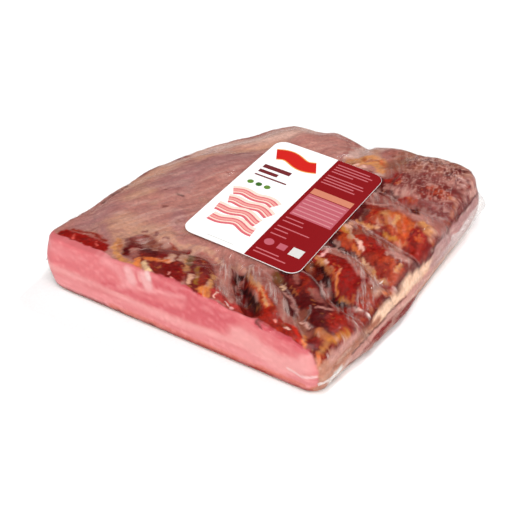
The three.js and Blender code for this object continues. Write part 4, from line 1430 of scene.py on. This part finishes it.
def rasher_path(u0, v0, phase):
    t = np.linspace(0, 1, 41)
    bow = RASHERS_BOW * np.sin(t * math.pi)
    wave = RASHERS_HEIGHT * np.sin(t * RASHERS_COUNT * 2 * math.pi + phase)
    return np.stack([u0 + RASHERS_LENGTH * t, v0 + bow + wave], 1)


def print_material():
    n = Nodes(bpy.data.materials.new("label_print"))
    fleck = n.noise(900.0, 2.0, 0.5, n.object_position())
    return n.finish(n.surface(n.attribute("ink", "Color"), 0.3, n.bump(fleck, 0.04, 0.0001)))


def make_print():
    print_ = Patches()
    half_u, half_v = LABEL_WIDTH / 2 - PRINT_MARGIN, LABEL_LENGTH / 2 - PRINT_MARGIN
    print_.bar(FIELD_START, half_u, -half_v, half_v, 0, "deep_red")
    t = np.linspace(0, 1, 31)
    banner = np.stack([BANNER_U + BANNER_LENGTH * t, BANNER_V + BANNER_WAVE * np.sin(t * 2 * math.pi)], 1)
    for banner_band in BANNER_BANDS:
        print_.ribbon(banner, *banner_band)
    for bar in HEADING_BARS:
        print_.bar(*bar, 0, "text_brown")
    print_.bar(*FOOT_BAR, 0, "card_grey")
    for k, v0 in enumerate(RASHERS_V):
        path = rasher_path(RASHERS_U + RASHERS_STAGGER * (k % 2), v0, RASHERS_SHIFT * k)
        for rasher_band in RASHER_BANDS:
            print_.ribbon(path, *rasher_band)
    for k, ink in enumerate(DOT_INKS):
        print_.dot(DOTS_U + DOTS_STEP * k, DOTS_V, DOTS_RADIUS, 0, ink)
    start = FIELD_LINES_START
    print_.bar(start, TABLE_END, *TABLE_HEAD_V, 1, "tan")
    print_.bar(start, TABLE_END, *TABLE_BODY_V, 1, "rose")
    for v0 in TABLE_ROWS_V:
        print_.bar(*TABLE_ROW_U, v0, v0 + TABLE_ROW_THICKNESS, 2, "light_rose")
    for lines, thickness in ((UPPER_LINES, UPPER_THICKNESS), (LOWER_LINES, LOWER_THICKNESS)):
        for v0, end in lines:
            print_.bar(start, end, v0, v0 + thickness, 1, "soft_line")
    print_.dot(*MARK_DOT, 1, "rose")
    for *corners, ink in MARK_SQUARES:
        print_.bar(*corners, 1, ink)
    return print_.mesh("label_print", print_material())


# Floor, light and camera

# The floor lies a little under the pack; both numbers in metres.
FLOOR_HALF, FLOOR_Z = 30.0, -0.0002
CAMERA_AZIMUTH, CAMERA_ELEVATION = 32.7, 34.5
CAMERA_DISTANCE, CAMERA_RIGHT, CAMERA_UP = 828.5, -12.9, -30.6
CAMERA_TARGET = (0, 0, 25)
FOCAL_PIXELS, FRAME_PIXELS, SENSOR_WIDTH = 1000.0, 520.0, 36.0
FLAG_DIRECTION = (-0.445, 0.694, 0.566)
# Cosine to the flag at which it begins and is full, then the room's strength outside and inside it.
FLAG_RAMP = (0.35, 0.8, 0.62, 0.05)


def direction(azimuth, elevation):
    """Unit vector out to a place in degrees; azimuth 0 is in front and 90 at the right."""
    a, e = math.radians(azimuth), math.radians(elevation)
    return Vector((math.sin(a) * math.cos(e), -math.cos(a) * math.cos(e), math.sin(e)))


def aim(made, back):
    """Turns an object so that its -Z looks against back, with +Y up."""
    made.rotation_euler = Vector(back).to_track_quat("Z", "Y").to_euler()


def add_camera():
    back = direction(CAMERA_AZIMUTH, CAMERA_ELEVATION)
    right = direction(CAMERA_AZIMUTH + 90, 0)
    up = back.cross(right)
    eye = Vector(CAMERA_TARGET) + back * CAMERA_DISTANCE + right * CAMERA_RIGHT + up * CAMERA_UP
    camera = add_object("camera", bpy.data.cameras.new("camera"))
    camera.data.sensor_width = SENSOR_WIDTH
    camera.data.lens = SENSOR_WIDTH * FOCAL_PIXELS / FRAME_PIXELS
    camera.data.clip_start = 0.05
    camera.location = eye * MM
    aim(camera, back)
    bpy.context.scene.camera = camera


def add_sun(name, azimuth, elevation, strength, angle):
    sun = add_object(name, bpy.data.lights.new(name, "SUN"))
    sun.data.energy = strength
    sun.data.angle = math.radians(angle)
    aim(sun, direction(azimuth, elevation))


def add_floor():
    corners = [(x * FLOOR_HALF, y * FLOOR_HALF, FLOOR_Z) for x, y in ((-1, -1), (1, -1), (1, 1), (-1, 1))]
    mesh = bpy.data.meshes.new("floor")
    mesh.from_pydata(corners, [], [(0, 1, 2, 3)])
    mesh.materials.append(plain_material("pale_floor", (252, 252, 252), 0.9))
    add_object("floor", mesh)


def add_world():
    """A pale room with a dark flag behind the object, so that the film doesn't mirror a white wall."""
    n = Nodes(bpy.data.worlds.new("studio"), "OutputWorld")
    outward = n.add("TexCoord").outputs["Generated"]
    toward = n.add("VectorMath", {0: outward, 1: FLAG_DIRECTION}, operation="DOT_PRODUCT").outputs["Value"]
    strength = n.ramp(toward, *FLAG_RAMP, interpolation_type="SMOOTHSTEP")
    room = n.add("Background", {"Color": (1, 1, 1, 1), "Strength": strength})
    bpy.context.scene.world = n.finish(room.outputs[0])


bpy.context.scene.view_settings.view_transform = "Standard"
add_camera()
add_world()
add_sun("overhead", 40, 64, 1.74, 40)
add_sun("front_fill", 14, 22, 1.08, 40)
add_sun("sparkle", 165, 52, 0.8, 3)
add_floor()

slab = make_slab()
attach(slab, "root")
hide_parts("vacuum_bag")

film = make_film()
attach(film, "root")
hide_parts("vacuum_bag")

card = make_card()
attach(card, "root")
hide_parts("label")

label_print = make_print()
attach(label_print, "root")
